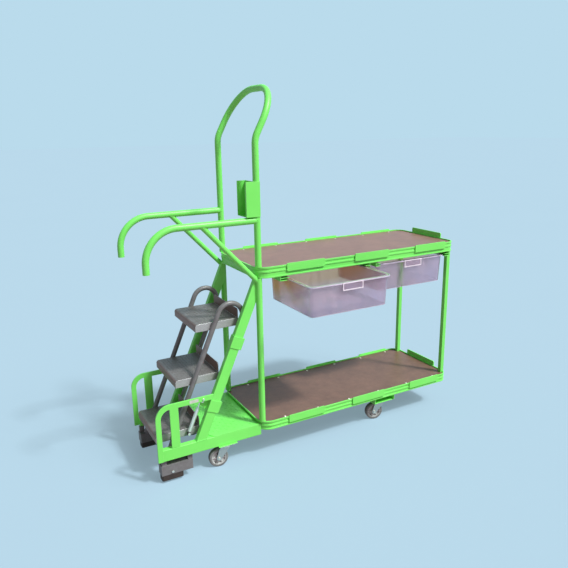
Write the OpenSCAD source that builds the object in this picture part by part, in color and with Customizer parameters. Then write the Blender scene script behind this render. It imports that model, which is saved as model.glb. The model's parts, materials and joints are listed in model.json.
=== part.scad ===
// Order picking trolley: two decks, a push hoop, a sprung step ladder and two pull-out trays.
// Millimetres. The origin is on the floor, midway between the two uprights.
// +X runs along the decks away from the ladder, +Z is up, and -Y is the side the trays open to.

/* [Main frame] */
// How far the uprights' centres stand inside the decks' long edges
upright_in = 30; // [25:1:45]
// Outside diameter of the hoop and handrail tube
tube_d = 32; // [28:1:36]
// Wall of every round and square tube
tube_wall = 2; // [1.5:0.5:3]
// Height at which the uprights start to lean
hoop_bend_z = 1623; // [1550:5:1700]
// Lean of the hoop from the vertical, in degrees
hoop_lean = 28; // [15:1:35]
// Length of the leaning part, up to the crown of the arch
hoop_reach = 261; // [240:1:320]
// Centre-line radius of the two arch corners
hoop_corner_r = 177; // [140:1:195]
// Centre-line radius of the bend where the hoop starts to lean
hoop_bend_r = 110; // [80:5:150]

/* [Handrails] */
// Height of the handrail centre line
rail_arm_z = 1246; // [1200:2:1300]
// How far the handrail's straight drop is from the upright
rail_arm_reach = 546; // [480:2:600]
// Centre-line radius of the handrail bend
rail_arm_r = 150; // [100:5:170]
// Height of the handrail's end above the floor
rail_arm_end_z = 1053; // [1000:1:1080]
// Diameter of the diagonal brace under each handrail
brace_d = 25; // [20:1:28]
// Distance from the upright to the top of the brace
brace_reach = 283; // [240:1:330]
// Height at which the brace meets the upright
brace_foot_z = 942; // [920:1:950]

/* [Decks] */
// Length of the lower deck and of the shelf
deck_len = 1274; // [1240:2:1320]
// Width of the lower deck and of the shelf
deck_w = 500; // [490:2:540]
// How far the decks start behind the upright centre line
deck_back = 20; // [18:1:30]
// Outside radius of the deck corners beside the uprights
deck_corner_r = 70; // [60:1:80]
// Outside radius of the deck corners at the far end
far_corner_r = 55; // [45:1:70]
// Height of the top edge of the lower deck's rim
deck_z = 203; // [200:1:206]
// Depth of the lower deck's rim
deck_rim_h = 47; // [44:1:50]
// Height of the top edge of the shelf's rim
shelf_z = 1020; // [980:1:1060]
// Depth of the shelf's rim
shelf_rim_h = 55; // [50:1:60]
// Thickness of the rim's upright wall
rim_wall = 6; // [4:0.5:8]
// Width of the ledge under the boards
ledge_w = 36; // [30:1:45]
// Thickness of the boards
board_t = 12; // [9:1:14]
// How far the boards lie below the rim's top edge
board_drop = 6; // [4:1:10]
// Length of a retaining strip
strip_len = 220; // [150:5:260]
// Height of a retaining strip
strip_h = 40; // [30:1:44]
// Thickness of the strips and end stops
strip_t = 5; // [3:0.5:6]
// How far a strip stands above the rim
strip_rise = 7; // [4:1:12]
// From the decks' start to the middle of the first strip
strip_first = 270; // [240:2:300]
// From the middle of the last strip to the decks' far end
strip_last = 192; // [160:2:220]
// Width of an end stop
stop_w = 250; // [200:5:280]
// How far an end stop stands above the rim
stop_rise = 28; // [20:1:40]
// Side of the square posts at the far end
post_w = 25; // [20:1:28]
// From the decks' start to the first board screw
screw_first = 150; // [90:2:160]
// From the last board screw to the decks' far end
screw_last = 104; // [90:2:160]
// Number of screws along each side of a board
screw_n = 6; // [3:1:8]

/* [Ladder base] */
// Height of the underside of the base rails
rail_z = 125; // [122:1:128]
// Height of the base rails' box section
rail_h = 60; // [56:1:64]
// Width of the base rails' box section
rail_w = 30; // [25:1:34]
// How far the base rails' outer faces lie inside the decks' long edges
base_in = 32; // [30:1:40]
// How far the base rails reach in front of the uprights
base_reach = 556; // [540:2:600]
// Thickness of the chequer plate
plate_t = 3; // [2:0.5:4]
// How far the chequer plate reaches in front of the uprights
plate_reach = 300; // [280:1:302]
// Width of the stringers' box section
stringer_w = 50; // [40:1:56]
// Thickness of the stringers' box section
stringer_t = 28; // [25:1:30]
// Slope of the stringers and the ladder, in degrees
slope = 66.15; // [64:0.05:68]
// Where the stringer's centre line meets the top of the base rail
stringer_foot = 335; // [325:1:345]
// Top height of the side guards
guard_z = 415; // [400:1:430]
// Width of the guards' bent bar
guard_w = 25; // [20:1:30]
// Thickness of the guards' bars
guard_t = 8; // [5:0.5:10]
// Outside radius of the guards' bend
guard_r = 72; // [50:1:90]
// Width of the guards' upright flat bar
guard_flat_w = 42; // [30:1:50]
// Distance from the front of the guard to its flat bar
guard_flat_at = 71; // [60:1:80]

/* [Ladder] */
// Height of the top tread
tread_top_z = 760; // [740:1:770]
// Rise from one tread to the next
tread_rise = 263; // [250:1:270]
// Distance of the top tread's front edge from the upright centre line
tread_front = 312; // [308:1:316]
// Depth of a tread
tread_depth = 225; // [200:1:226]
// Height of a tread's side flange
tread_h = 38; // [30:1:45]
// Thickness of the tread sheet
tread_t = 3; // [2:0.5:4]
// Height of the upstand behind each tread
kick_h = 48; // [30:1:60]
// Diameter of the ladder's side tubes
leg_d = 25; // [22:1:26]
// How far the side tubes' centres lie inside the base rails' outer faces
leg_in = 52; // [51:1:58]
// Horizontal distance between the front and the rear leg
leg_space = 145; // [135:1:150]
// Where the front leg's centre line crosses the height of the middle tread
front_leg_at = 332; // [328:1:336]
// Height of the top of the side tubes
arch_z = 858; // [840:1:870]
// How far the ladder slides down until its feet stand
ladder_drop = 12.8; // [8:0.2:13]
// Length of a rubber foot
foot_len = 110; // [90:1:120]
// Width of a foot
foot_w = 50; // [40:1:52]
// Height of the rubber foot
foot_rubber_h = 30; // [20:1:32]
// Height of the foot's folded bracket
foot_bracket_h = 52; // [46:1:56]

/* [Trays] */
// How far the back of a closed tray stays inside the shelf's far edge
tray_back = 50; // [30:2:80]
// Height of a tray
tray_h = 154; // [120:1:160]
// Wall of a tray
tray_wall = 3; // [2:0.5:4]
// Width of a tray's rim flange
tray_flange = 12; // [10:1:16]
// How much a tray narrows on each side towards its floor
tray_taper = 6; // [4:1:20]
// Distance from the upright centre line to the first tray
tray_start = 146; // [135:1:160]
// Gap between the rims of the two trays
tray_space = 79; // [50:1:120]
// Distance from the second tray to the decks' far end
tray_end = 65; // [50:1:90]
// How far the near end of a closed tray stands inside the shelf's edge
tray_inset = 8; // [4:1:15]
// How far the first tray is drawn out
tray_out = 220; // [0:5:300]

/* [Document holder] */
// Height of the holder's floor
holder_z = 1265; // [1264:1:1290]
// Height of the holder
holder_h = 164; // [120:1:200]
// Length of the holder's near plate
holder_w = 72; // [60:1:90]
// Depth of the holder across the trolley
holder_depth = 100; // [80:1:120]
// Sheet thickness of the holder
holder_t = 2; // [1.5:0.5:3]

/* [Casters] */
// Diameter of the wheels
wheel_d = 100; // [96:1:102]
// Width of the tyres
tyre_w = 28; // [24:1:30]
// Trail from the swivel axis to the axle
trail = 42; // [38:1:44]
// Diameter of the axles
axle_d = 8; // [6:0.5:10]
// Radial running clearance of the turning fits
fit_gap = 0.05; // [0.03:0.01:0.1]
// How far the swivel axes lie inside the decks' long edges
caster_in = 60; // [54:1:70]
// Swivel axis of the casters under the ladder base
caster_front_x = -198; // [-210:1:-190]
// Distance of the rear casters' swivel axes from the decks' far end
caster_rear_in = 466; // [430:1:490]
// Heading of the near and the far front caster, in degrees from straight trailing
front_headings = [7, 10];
// Heading of the near and the far rear caster, in degrees from straight trailing
rear_headings = [17, 11];

/* [Hidden] */
$fn = 64;

green = "#5ee04a";
sheet_grey = "#9a9896";
board_brown = "#8d776c";
zinc = "#b9bcbe";
rubber_dark = "#3c3836";
wheel_grey = "#8f9193";
clear_plastic = "#cfc3cf";

// Small gap that keeps two solids clear of each other
clear = 0.3;
// Overlap that makes a cutting tool pass right through a face
cut = 1;
// Corner radius of the box sections
box_r = 3;
// The ladder's running clearance in its guides
guide_gap = 0.25;

tube_r = tube_d / 2;
deck_x0 = -deck_back;
deck_x1 = deck_len - deck_back;
deck_y = deck_w / 2;
upright_y = deck_y - upright_in;
deck_board_top = deck_z - board_drop;
shelf_board_top = shelf_z - board_drop;
deck_bottom = deck_z - deck_rim_h;
shelf_bottom = shelf_z - shelf_rim_h;
ledge_t = 3;
board_gap = 0.5;
post_x = deck_x1 - 16;
post_y = deck_y - 45;

rail_y = deck_y - base_in;
rail_top = rail_z + rail_h;
run = 1 / tan(slope);
stringer_y = rail_y - stringer_t / 2;
stringer_half = stringer_w / 2 / sin(slope);

leg_r = leg_d / 2;
leg_y = rail_y - leg_in;
tread_half = leg_y - leg_r;
tread_mid_z = tread_top_z - tread_rise;
rear_leg_at = front_leg_at - leg_space;
arch_r = leg_space * sin(slope) / 2;
foot_z = 12;
foot_x = 15 - base_reach;
foot_outer = rail_y - 13;
bracket_len = 159;

pad_t = 3;
head_z = rail_z - pad_t;
caster_y = deck_y - caster_in;
caster_rear_x = deck_x1 - caster_rear_in;
wheel_r = wheel_d / 2;

// X of the stringer's centre line at a height
function stringer_x(z) = -stringer_foot + (z - rail_top) * run;
// X of the two ladder legs' centre lines at a height
function front_leg_x(z) = -front_leg_at + (z - tread_mid_z) * run;
function rear_leg_x(z) = -rear_leg_at + (z - tread_mid_z) * run;

// General shapes

module ring(d, wall) {
    difference() {
        circle(d = d);
        circle(d = d - 2 * wall);
    }
}

module pipe(d, wall, length) {
    linear_extrude(length) ring(d, wall);
}

// A bend that starts at the origin along +Z and turns towards +X
module elbow(d, wall, r, angle) {
    translate([r, 0, 0])
        rotate([90, 0, 180])
            rotate_extrude(angle = angle)
                translate([r, 0])
                    ring(d, wall);
}

// A bent tube: each step is [straight length, bend radius, bend angle, roll before the bend].
// A weld ring, hardly thicker than the tube, closes each joint between two steps.
module bent_tube(steps, d, wall, i = 0) {
    weld = 0.05;
    weld_h = 4;
    if (i < len(steps)) {
        s = steps[i];
        rotate([0, 0, s[3]]) {
            if (i > 0)
                translate([0, 0, -weld_h / 2]) pipe(d + 2 * weld, wall + 2 * weld, weld_h);
            if (s[0] > 0) pipe(d, wall, s[0]);
            translate([0, 0, s[0]]) {
                if (s[2] > 0) elbow(d, wall, s[1], s[2]);
                translate([s[1], 0, 0])
                    rotate([0, s[2], 0])
                        translate([-s[1], 0, 0])
                            bent_tube(steps, d, wall, i + 1);
            }
        }
    }
}

// A rectangle with round corners between two opposite corners
module round_rect(x0, y0, x1, y1, r) {
    translate([x0 + r, y0]) square([x1 - x0 - 2 * r, y1 - y0]);
    translate([x0, y0 + r]) square([x1 - x0, y1 - y0 - 2 * r]);
    for (x = [x0 + r, x1 - r], y = [y0 + r, y1 - r]) translate([x, y]) circle(r);
}

// The same with its own corner radius at each end in X
module two_end_rect(x0, y0, x1, y1, r0, r1) {
    translate([x0 + r0, y0]) square([x1 - x0 - r0 - r1, y1 - y0]);
    translate([x0, y0 + r0]) square([r0 + cut, y1 - y0 - 2 * r0]);
    translate([x1 - r1 - cut, y0 + r1]) square([r1 + cut, y1 - y0 - 2 * r1]);
    for (s = [-1, 1]) {
        translate([x0 + r0, s * (y1 - r0)]) circle(r0);
        translate([x1 - r1, s * (y1 - r1)]) circle(r1);
    }
}

// Box section standing along +Z, centred on its axis
module box_tube(a, b, wall, length) {
    linear_extrude(length)
        difference() {
            round_rect(-a / 2, -b / 2, a / 2, b / 2, box_r);
            round_rect(wall - a / 2, wall - b / 2, a / 2 - wall, b / 2 - wall, box_r - wall / 2);
        }
}

// An outline drawn in X and Z, made solid from y0 to y1
module plate_xz(y0, y1) {
    translate([0, y1, 0]) rotate([90, 0, 0]) linear_extrude(y1 - y0) children();
}

// Places its children on both sides of the middle plane
module both_sides() {
    children();
    mirror([0, 1, 0]) children();
}

// The deck outline, moved inwards by a margin
module deck_outline(inset) {
    two_end_rect(deck_x0 + inset, inset - deck_y, deck_x1 - inset, deck_y - inset,
        deck_corner_r - inset, max(far_corner_r - inset, 2));
}

module deck_ring(inset, width, z0, z1) {
    translate([0, 0, z0])
        linear_extrude(z1 - z0)
            difference() {
                deck_outline(inset);
                deck_outline(inset + width);
            }
}

// All that lies outside the rims' inner face between two heights
module outside_rim(z0, z1) {
    deck_ring(-deck_corner_r, deck_corner_r + rim_wall, z0, z1);
}

// Hoop, handrails and braces

module upright_solid(z0, z1, gap = 0) {
    both_sides()
        translate([0, -upright_y, z0]) cylinder(r = tube_r + gap, h = z1 - z0);
}

module upright_hoop() {
    lead = hoop_bend_r * tan(hoop_lean / 2);
    foot = deck_z - board_drop - board_t;
    steps = [
        [hoop_bend_z - lead - foot, hoop_bend_r, hoop_lean, 0],
        [hoop_reach - lead - hoop_corner_r, hoop_corner_r, 90, 90],
        [upright_y - hoop_corner_r, 0, 0, 0]
    ];
    color(green)
        difference() {
            both_sides() translate([0, -upright_y, foot]) bent_tube(steps, tube_d, tube_wall);
            outside_rim(foot - cut, deck_z);
            outside_rim(shelf_bottom, shelf_z);
        }
}

cap_t = 3;

module handrail(side) {
    start = 3;
    steps = [
        [rail_arm_reach - rail_arm_r - start, rail_arm_r, 90, 180],
        [rail_arm_z - rail_arm_r - rail_arm_end_z - cap_t, 0, 0, 0]
    ];
    color(green)
        difference() {
            translate([-start, side * upright_y, rail_arm_z])
                rotate([0, -90, 0])
                    bent_tube(steps, tube_d, tube_wall);
            upright_solid(rail_arm_z - tube_d, rail_arm_z + tube_d);
        }
}

module handrail_near() { handrail(-1); }
module handrail_far() { handrail(1); }

module handrail_caps() {
    plug = 12;
    color(green)
        both_sides()
            translate([-rail_arm_reach, -upright_y, rail_arm_end_z]) {
                cylinder(r = tube_r, h = cap_t);
                cylinder(r = tube_r - tube_wall - fit_gap, h = cap_t + plug);
            }
}

// The brace's axis runs from the handrail's centre line to the upright's
module brace_solid(side, d, wall) {
    drop = rail_arm_z - brace_foot_z;
    length = sqrt(brace_reach * brace_reach + drop * drop);
    translate([-brace_reach, side * upright_y, rail_arm_z])
        rotate([0, 90 + atan(drop / brace_reach), 0])
            pipe(d, wall, length);
}

module brace(side) {
    color(green)
        difference() {
            brace_solid(side, brace_d, tube_wall);
            upright_solid(brace_foot_z - tube_d, brace_foot_z + tube_d);
            translate([-brace_reach - tube_d, side * upright_y, rail_arm_z])
                rotate([0, 90, 0]) cylinder(r = tube_r, h = 2 * tube_d);
            translate([0, 0, shelf_bottom]) linear_extrude(shelf_rim_h) deck_outline(0);
        }
}

module brace_near() { brace(-1); }
module brace_far() { brace(1); }

// Decks

// Two recesses round the rim's wall leave a lip at each edge and a ridge between them
module deck_rim_solid(top, height) {
    top_lip = 8;
    groove_h = 12;
    ridge_h = 8;
    low_lip = 6;
    groove_d = 2.5;
    groove_top = top - top_lip;
    ridge_bottom = groove_top - groove_h - ridge_h;
    difference() {
        deck_ring(0, rim_wall, top - height, top);
        deck_ring(-cut, groove_d + cut, groove_top - groove_h, groove_top);
        deck_ring(-cut, groove_d + cut, top - height + low_lip, ridge_bottom);
    }
}

// The ledge inside a rim that carries the board
module deck_ledge(board_top) {
    z = board_top - board_t;
    deck_ring(rim_wall, ledge_w - rim_wall, z - ledge_t, z);
}

module deck_board_solid(top) {
    translate([0, 0, top - board_t])
        linear_extrude(board_t)
            deck_outline(rim_wall + board_gap);
}

module post_hole(z0, z1, gap) {
    both_sides()
        translate([post_x - post_w / 2 - gap, -post_y - post_w / 2 - gap, z0])
            cube([post_w + 2 * gap, post_w + 2 * gap, z1 - z0]);
}

// Screws stand in rows along both long sides of each board
screw_in = 22;
screw_pitch = (deck_len - screw_first - screw_last) / (screw_n - 1);
screw_r = 2.5;
screw_head_r = 6;
screw_head_h = 2;

module screw_places() {
    for (i = [0 : screw_n - 1], s = [-1, 1])
        translate([deck_x0 + screw_first + i * screw_pitch, s * (deck_y - screw_in), 0]) children();
}

// Counterbored, so that each head lies flush with the board
module screw_holes(top) {
    screw_places() {
        translate([0, 0, top - board_t - ledge_t - cut])
            cylinder(r = screw_r + fit_gap, h = board_t + ledge_t + 2 * cut, $fn = 24);
        translate([0, 0, top - screw_head_h])
            cylinder(r = screw_head_r + fit_gap, h = screw_head_h + cut, $fn = 24);
    }
}

module screws(top) {
    screw_places() {
        translate([0, 0, top - board_t - ledge_t]) cylinder(r = screw_r, h = board_t + ledge_t, $fn = 24);
        translate([0, 0, top - screw_head_h]) cylinder(r = screw_head_r, h = screw_head_h, $fn = 24);
    }
}

module deck_rim() {
    color(green)
        difference() {
            union() {
                deck_rim_solid(deck_z, deck_rim_h);
                deck_ledge(deck_board_top);
            }
            screw_holes(deck_board_top);
        }
}

module deck_board() {
    color(board_brown)
        difference() {
            deck_board_solid(deck_board_top);
            upright_solid(deck_bottom, deck_z, board_gap);
            post_hole(deck_bottom, deck_z, board_gap);
            screw_holes(deck_board_top);
        }
}

module shelf_rim() {
    color(green)
        difference() {
            union() {
                deck_rim_solid(shelf_z, shelf_rim_h);
                difference() {
                    deck_ledge(shelf_board_top);
                    upright_solid(shelf_bottom, shelf_z, fit_gap);
                }
            }
            screw_holes(shelf_board_top);
        }
}

module shelf_board() {
    color(board_brown)
        difference() {
            deck_board_solid(shelf_board_top);
            upright_solid(shelf_bottom, shelf_z, board_gap);
            screw_holes(shelf_board_top);
        }
}

module retaining_strips() {
    corner = 6;
    first = deck_x0 + strip_first;
    last = deck_x1 - strip_last;
    color(green)
        for (top = [deck_z, shelf_z], x = [first, (first + last) / 2, last])
            both_sides()
                translate([x, 0, top + strip_rise])
                    plate_xz(-deck_y - strip_t, -deck_y)
                        round_rect(-strip_len / 2, -strip_h, strip_len / 2, 0, corner);
}

module end_stops() {
    corner = 8;
    color(green)
        for (top = [deck_z, shelf_z])
            translate([deck_x1, 0, top + stop_rise])
                rotate([90, 0, 90])
                    linear_extrude(strip_t)
                        round_rect(-stop_w / 2, -strip_h - stop_rise + strip_rise, stop_w / 2, 0, corner);
}

module post(side) {
    foot = deck_board_top - board_t;
    color(green)
        difference() {
            translate([post_x, side * post_y, foot])
                box_tube(post_w, post_w, tube_wall, shelf_bottom - foot);
            outside_rim(foot - cut, deck_z);
        }
}

module post_near() { post(-1); }
module post_far() { post(1); }

// Ladder base

module base_rail(side) {
    start = guard_w - base_reach;
    end_t = 3;
    color(green)
        difference() {
            union() {
                translate([start, side * (rail_y - rail_w / 2), rail_z + rail_h / 2])
                    rotate([0, 90, 0])
                        box_tube(rail_h, rail_w, tube_wall, deck_corner_r - start);
                translate([start, side * (rail_y - rail_w / 2) - rail_w / 2 + tube_wall, rail_z + tube_wall])
                    cube([end_t, rail_w - 2 * tube_wall, rail_h - 2 * tube_wall]);
            }
            translate([0, 0, rail_z - cut]) linear_extrude(rail_h + 2 * cut) deck_outline(0);
        }
}

module base_rail_near() { base_rail(-1); }
module base_rail_far() { base_rail(1); }

module base_cross_members() {
    member_w = 40;
    member_h = 30;
    inner = rail_y - rail_w;
    color(green)
        for (x = [-plate_reach, caster_front_x - member_w / 2, deck_x0 - member_w])
            translate([x + member_w / 2, inner, rail_top - member_h / 2])
                rotate([90, 0, 0])
                    box_tube(member_w, member_h, tube_wall, 2 * inner);
}

module floor_plate() {
    nick_x = 32;
    nick_y = 52;
    color(green)
        translate([0, 0, rail_top])
            linear_extrude(plate_t)
                difference() {
                    polygon([
                        [-plate_reach, nick_y - rail_y], [nick_x - plate_reach, -rail_y],
                        [0, -rail_y], [0, rail_y],
                        [nick_x - plate_reach, rail_y], [-plate_reach, rail_y - nick_y]
                    ]);
                    deck_outline(0);
                }
}

// The stringer's full bar along its slope, before its ends are cut
module stringer_bar(side) {
    tail = 60;
    length = (shelf_bottom - rail_top) / sin(slope) + 2 * tail;
    translate([stringer_x(rail_top), side * stringer_y, rail_top])
        rotate([0, 90 - slope, 0])
            translate([0, 0, -tail])
                box_tube(stringer_w, stringer_t, tube_wall, length);
}

module stringer(side) {
    margin = 100;
    color(green)
        difference() {
            stringer_bar(side);
            translate([-stringer_foot - margin, side * stringer_y - margin / 2, rail_top - margin])
                cube([2 * margin, margin, margin]);
            translate([-margin, side * stringer_y - margin / 2, shelf_bottom])
                cube([2 * margin, margin, margin]);
            translate([0, side * stringer_y - margin / 2, shelf_bottom - 2 * margin])
                cube([margin, margin, 2 * margin + cut]);
            upright_solid(shelf_bottom - 2 * margin, shelf_bottom + cut);
            brace_solid(side, brace_d, brace_d / 2 - 1);
            brace_solid(side, brace_d / 2, brace_d / 4 - 0.1);
        }
}

module stringer_near() { stringer(-1); }
module stringer_far() { stringer(1); }

// Each collar clasps a stringer and carries a sleeve in which the ladder's rear leg slides
collar_h = 60;
collar_strap = 3;
collar_zs = [350, 655];

module guide_collars() {
    strap = collar_strap;
    rear_strap = 9;
    sleeve_r = leg_r + 6;
    leg_dx = (rear_leg_x(0) - stringer_x(0)) * sin(slope);
    leg_dy = stringer_y - leg_y;
    color(green)
        for (z = collar_zs)
            both_sides()
                translate([stringer_x(z), -stringer_y, z])
                    rotate([0, 90 - slope, 0])
                        translate([0, 0, -collar_h / 2])
                            linear_extrude(collar_h)
                                difference() {
                                    union() {
                                        translate([-stringer_w / 2 - strap, -stringer_t / 2 - strap])
                                            square([stringer_w + strap + rear_strap, stringer_t + 2 * strap]);
                                        translate([leg_dx, leg_dy]) circle(sleeve_r);
                                        translate([leg_dx - sleeve_r / 2, stringer_t / 2])
                                            square([sleeve_r, leg_dy - stringer_t / 2]);
                                    }
                                    round_rect(-stringer_w / 2, -stringer_t / 2, stringer_w / 2, stringer_t / 2, box_r);
                                    translate([leg_dx, leg_dy]) circle(leg_r + guide_gap);
                                }
}

// Side guards: a bent flat bar from the rail's front end back to the stringer, and a flat bar
module guard(side) {
    x0 = -base_reach;
    end_x = stringer_x(guard_z) - stringer_half;
    low_x = stringer_x(guard_z - guard_w) - stringer_half;
    flat_x = x0 + guard_flat_at;
    inner_r = guard_r - guard_w;
    y0 = side > 0 ? rail_y - guard_t : -rail_y;
    color(green)
        plate_xz(y0, y0 + guard_t) {
            translate([x0, rail_z]) square([guard_w, guard_z - guard_r - rail_z]);
            intersection() {
                translate([x0 + guard_r, guard_z - guard_r])
                    difference() {
                        circle(guard_r);
                        circle(inner_r);
                    }
                translate([x0, guard_z - guard_r]) square(guard_r);
            }
            polygon([
                [x0 + guard_r, guard_z - guard_w], [low_x, guard_z - guard_w],
                [end_x, guard_z], [x0 + guard_r, guard_z]
            ]);
            translate([flat_x, rail_top]) square([guard_flat_w, guard_z - guard_w - rail_top]);
        }
}

module guard_near() { guard(-1); }
module guard_far() { guard(1); }

// Tray runners: folded channels under the shelf that carry the trays' rims

tray_top = shelf_bottom - 17;
runner_t = 2.5;
lip_h = 6;
runner_lip = 10;
tray_len = (deck_x1 - tray_start - tray_space - tray_end) / 2;
tray_depth = deck_w - tray_inset - tray_back;
tray2_start = tray_start + tray_len + tray_space;

// One channel that carries a rim edge at x; the tray lies on the other side of it from side -1 or 1
module runner_profile(x, side, web, top) {
    low = tray_top - lip_h - clear - runner_t;
    guide = tray_top + 3;
    translate([x, 0])
        scale([side, 1]) {
            translate([-runner_lip, low]) square([web + runner_lip, runner_t]);
            translate([-runner_lip, guide]) square([web + runner_lip, runner_t]);
            translate([web - runner_t, low]) square([runner_t, shelf_bottom - low]);
            translate([web - runner_t, shelf_bottom - runner_t]) square([top, runner_t]);
        }
}

module tray_runners() {
    web_first = 42;
    web_last = 24;
    web_mid = 20;
    shelf_plate = 48;
    end_plate = post_x - post_w / 2 - tray2_start - tray_len - web_last + runner_t - clear;
    color(green)
        intersection() {
            plate_xz(-deck_y, deck_y) {
                runner_profile(tray_start, -1, web_first, shelf_plate);
                runner_profile(tray_start + tray_len, 1, web_mid, tray_space / 2 - web_mid + runner_t + cut);
                runner_profile(tray2_start, -1, web_mid, tray_space / 2 - web_mid + runner_t + cut);
                runner_profile(tray2_start + tray_len, 1, web_last, end_plate);
            }
            linear_extrude(shelf_z) deck_outline(3);
        }
}

// Trays: a tapered shell with a flanged rim, hung by the rim's down-turned lip

tray_body_r = 22;

module tray_body(inset, z0, z1) {
    taper0 = tray_taper * (tray_top - z0) / tray_h;
    hull() {
        translate([0, 0, z1 - 0.01])
            linear_extrude(0.01)
                round_rect(tray_flange + inset, tray_flange + inset, tray_len - tray_flange - inset,
                    tray_depth - tray_flange - inset, tray_body_r - inset, $fn = 32);
        translate([0, 0, z0])
            linear_extrude(0.01)
                round_rect(tray_flange + inset + taper0, tray_flange + inset + taper0,
                    tray_len - tray_flange - inset - taper0, tray_depth - tray_flange - inset - taper0,
                    tray_body_r - inset, $fn = 32);
    }
}

module tray() {
    rim_r = tray_body_r + tray_flange;
    label_w = 118;
    label_h = 40;
    label_t = 3;
    difference() {
        union() {
            tray_body(0, tray_top - tray_h, tray_top);
            translate([0, 0, tray_top - tray_wall])
                linear_extrude(tray_wall) round_rect(0, 0, tray_len, tray_depth, rim_r);
            translate([0, 0, tray_top - lip_h])
                linear_extrude(lip_h)
                    difference() {
                        round_rect(0, 0, tray_len, tray_depth, rim_r);
                        round_rect(tray_wall, tray_wall, tray_len - tray_wall, tray_depth - tray_wall,
                            rim_r - tray_wall);
                    }
            plate_xz(0, label_t)
                round_rect(tray_len / 2 - label_w / 2, tray_top - label_h, tray_len / 2 + label_w / 2,
                    tray_top, label_t);
        }
        tray_body(tray_wall, tray_top - tray_h + tray_wall, tray_top + 0.02);
    }
}

module tray_left() {
    color(clear_plastic, 0.5) translate([tray_start, tray_inset - deck_y - tray_out, 0]) tray();
}

module tray_right() {
    color(clear_plastic, 0.5) translate([tray2_start, tray_inset - deck_y, 0]) tray();
}

// Document holder on the near upright: open at the top and towards the ladder

module document_holder() {
    near_y = -upright_y - tube_r;
    far_y = near_y + holder_depth;
    x1 = -tube_r;
    x0 = x1 + 27 - holder_w;
    lip = 9;
    color(green)
        translate([0, 0, holder_z])
            linear_extrude(holder_h) {
                translate([x0, near_y - holder_t]) square([holder_w, holder_t]);
                translate([x1 - holder_t, near_y]) square([holder_t, holder_depth]);
                translate([x0, far_y - holder_t]) square([x1 - x0, holder_t]);
                translate([x0, near_y]) square([holder_t, lip]);
            }
    color(green)
        translate([x0 + holder_t, near_y, holder_z])
            cube([x1 - x0 - 2 * holder_t, holder_depth - holder_t, holder_t]);
}

// Casters

channel_w = 139;
channel_x = caster_rear_x - 82;
// Each caster's swivel axis in X, its side and its heading
caster_list = [
    [caster_front_x, -1, 180 + front_headings[0]], [caster_front_x, 1, 180 + front_headings[1]],
    [caster_rear_x, -1, 180 + rear_headings[0]], [caster_rear_x, 1, 180 + rear_headings[1]]
];

module caster_channel() {
    half = deck_y - 3;
    color(green)
        plate_xz(-half, half)
            difference() {
                translate([channel_x, rail_z]) square([channel_w, deck_bottom - rail_z]);
                translate([channel_x + pad_t, rail_z - cut])
                    square([channel_w - 2 * pad_t, deck_bottom - rail_z - pad_t + cut]);
            }
}

module caster_pads() {
    inner = caster_y - 40;
    front_outer = rail_y + 10;
    rear_outer = deck_y - 10;
    front_w = 100;
    color(green)
        both_sides() {
            translate([caster_front_x - front_w / 2, -front_outer, head_z]) cube([front_w, front_outer - inner, pad_t]);
            translate([channel_x, -rear_outer, head_z]) cube([channel_w, rear_outer - inner, pad_t]);
        }
}

head_plate_t = 4;
race_h = 10;
race_r = 27;
crown_t = 4.7;
king_r = 6;
race_z = head_z - head_plate_t - race_h;
crown_top = race_z - clear;

module caster_heads() {
    rivet_h = 5;
    bolt_x = 33;
    bolt_y = 24;
    color(zinc)
        for (c = caster_list)
            translate([c[0], c[1] * caster_y, 0]) {
                translate([0, 0, head_z - head_plate_t])
                    linear_extrude(head_plate_t)
                        difference() {
                            round_rect(-44, -34, 44, 34, 6);
                            for (x = [-bolt_x, bolt_x], y = [-bolt_y, bolt_y]) translate([x, y]) circle(4, $fn = 24);
                        }
                translate([0, 0, race_z])
                    rotate_extrude()
                        polygon([[0, 0], [race_r, 0], [race_r, 4], [race_r - 5, race_h], [0, race_h]]);
                translate([0, 0, crown_top - crown_t - clear - rivet_h])
                    cylinder(r = king_r + 4, h = rivet_h);
                translate([0, 0, crown_top - crown_t - clear])
                    cylinder(r = king_r, h = crown_t + 2 * clear + cut);
            }
}

leg_t = 3;
fork_half = 18;

// A fork in its own frame: swivel axis at the origin, trailing towards +X
module fork_solid() {
    leg_top_w = 40;
    eye_r = 13;
    difference() {
        union() {
            translate([0, 0, crown_top - crown_t]) {
                cylinder(r = race_r, h = crown_t);
                translate([0, -fork_half - leg_t, 0]) cube([leg_top_w - 8, 2 * (fork_half + leg_t), crown_t]);
            }
            both_sides()
                plate_xz(-fork_half - leg_t, -fork_half) {
                    polygon([
                        [-8, crown_top], [-12, crown_top - 10], [trail - eye_r, wheel_r - 3],
                        [trail + eye_r, wheel_r + 3], [leg_top_w, crown_top - 10], [leg_top_w - 8, crown_top]
                    ]);
                    translate([trail, wheel_r]) circle(eye_r);
                }
        }
        translate([0, 0, crown_top - crown_t - cut])
            cylinder(r = king_r + fit_gap, h = crown_t + 2 * cut);
        translate([trail, 0, wheel_r])
            rotate([90, 0, 0])
                cylinder(d = axle_d + 2 * fit_gap, h = 4 * fork_half, center = true);
    }
}

module axle_solid() {
    head_h = 5;
    head_r = 7;
    out = fork_half + leg_t;
    translate([trail, 0, wheel_r])
        rotate([90, 0, 0]) {
            cylinder(d = axle_d, h = 2 * out, center = true);
            for (s = [-1, 1])
                translate([0, 0, s * (out + head_h / 2)])
                    cylinder(r = head_r, h = head_h, center = true, $fn = 6);
        }
}

hub_r = 38;

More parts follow.
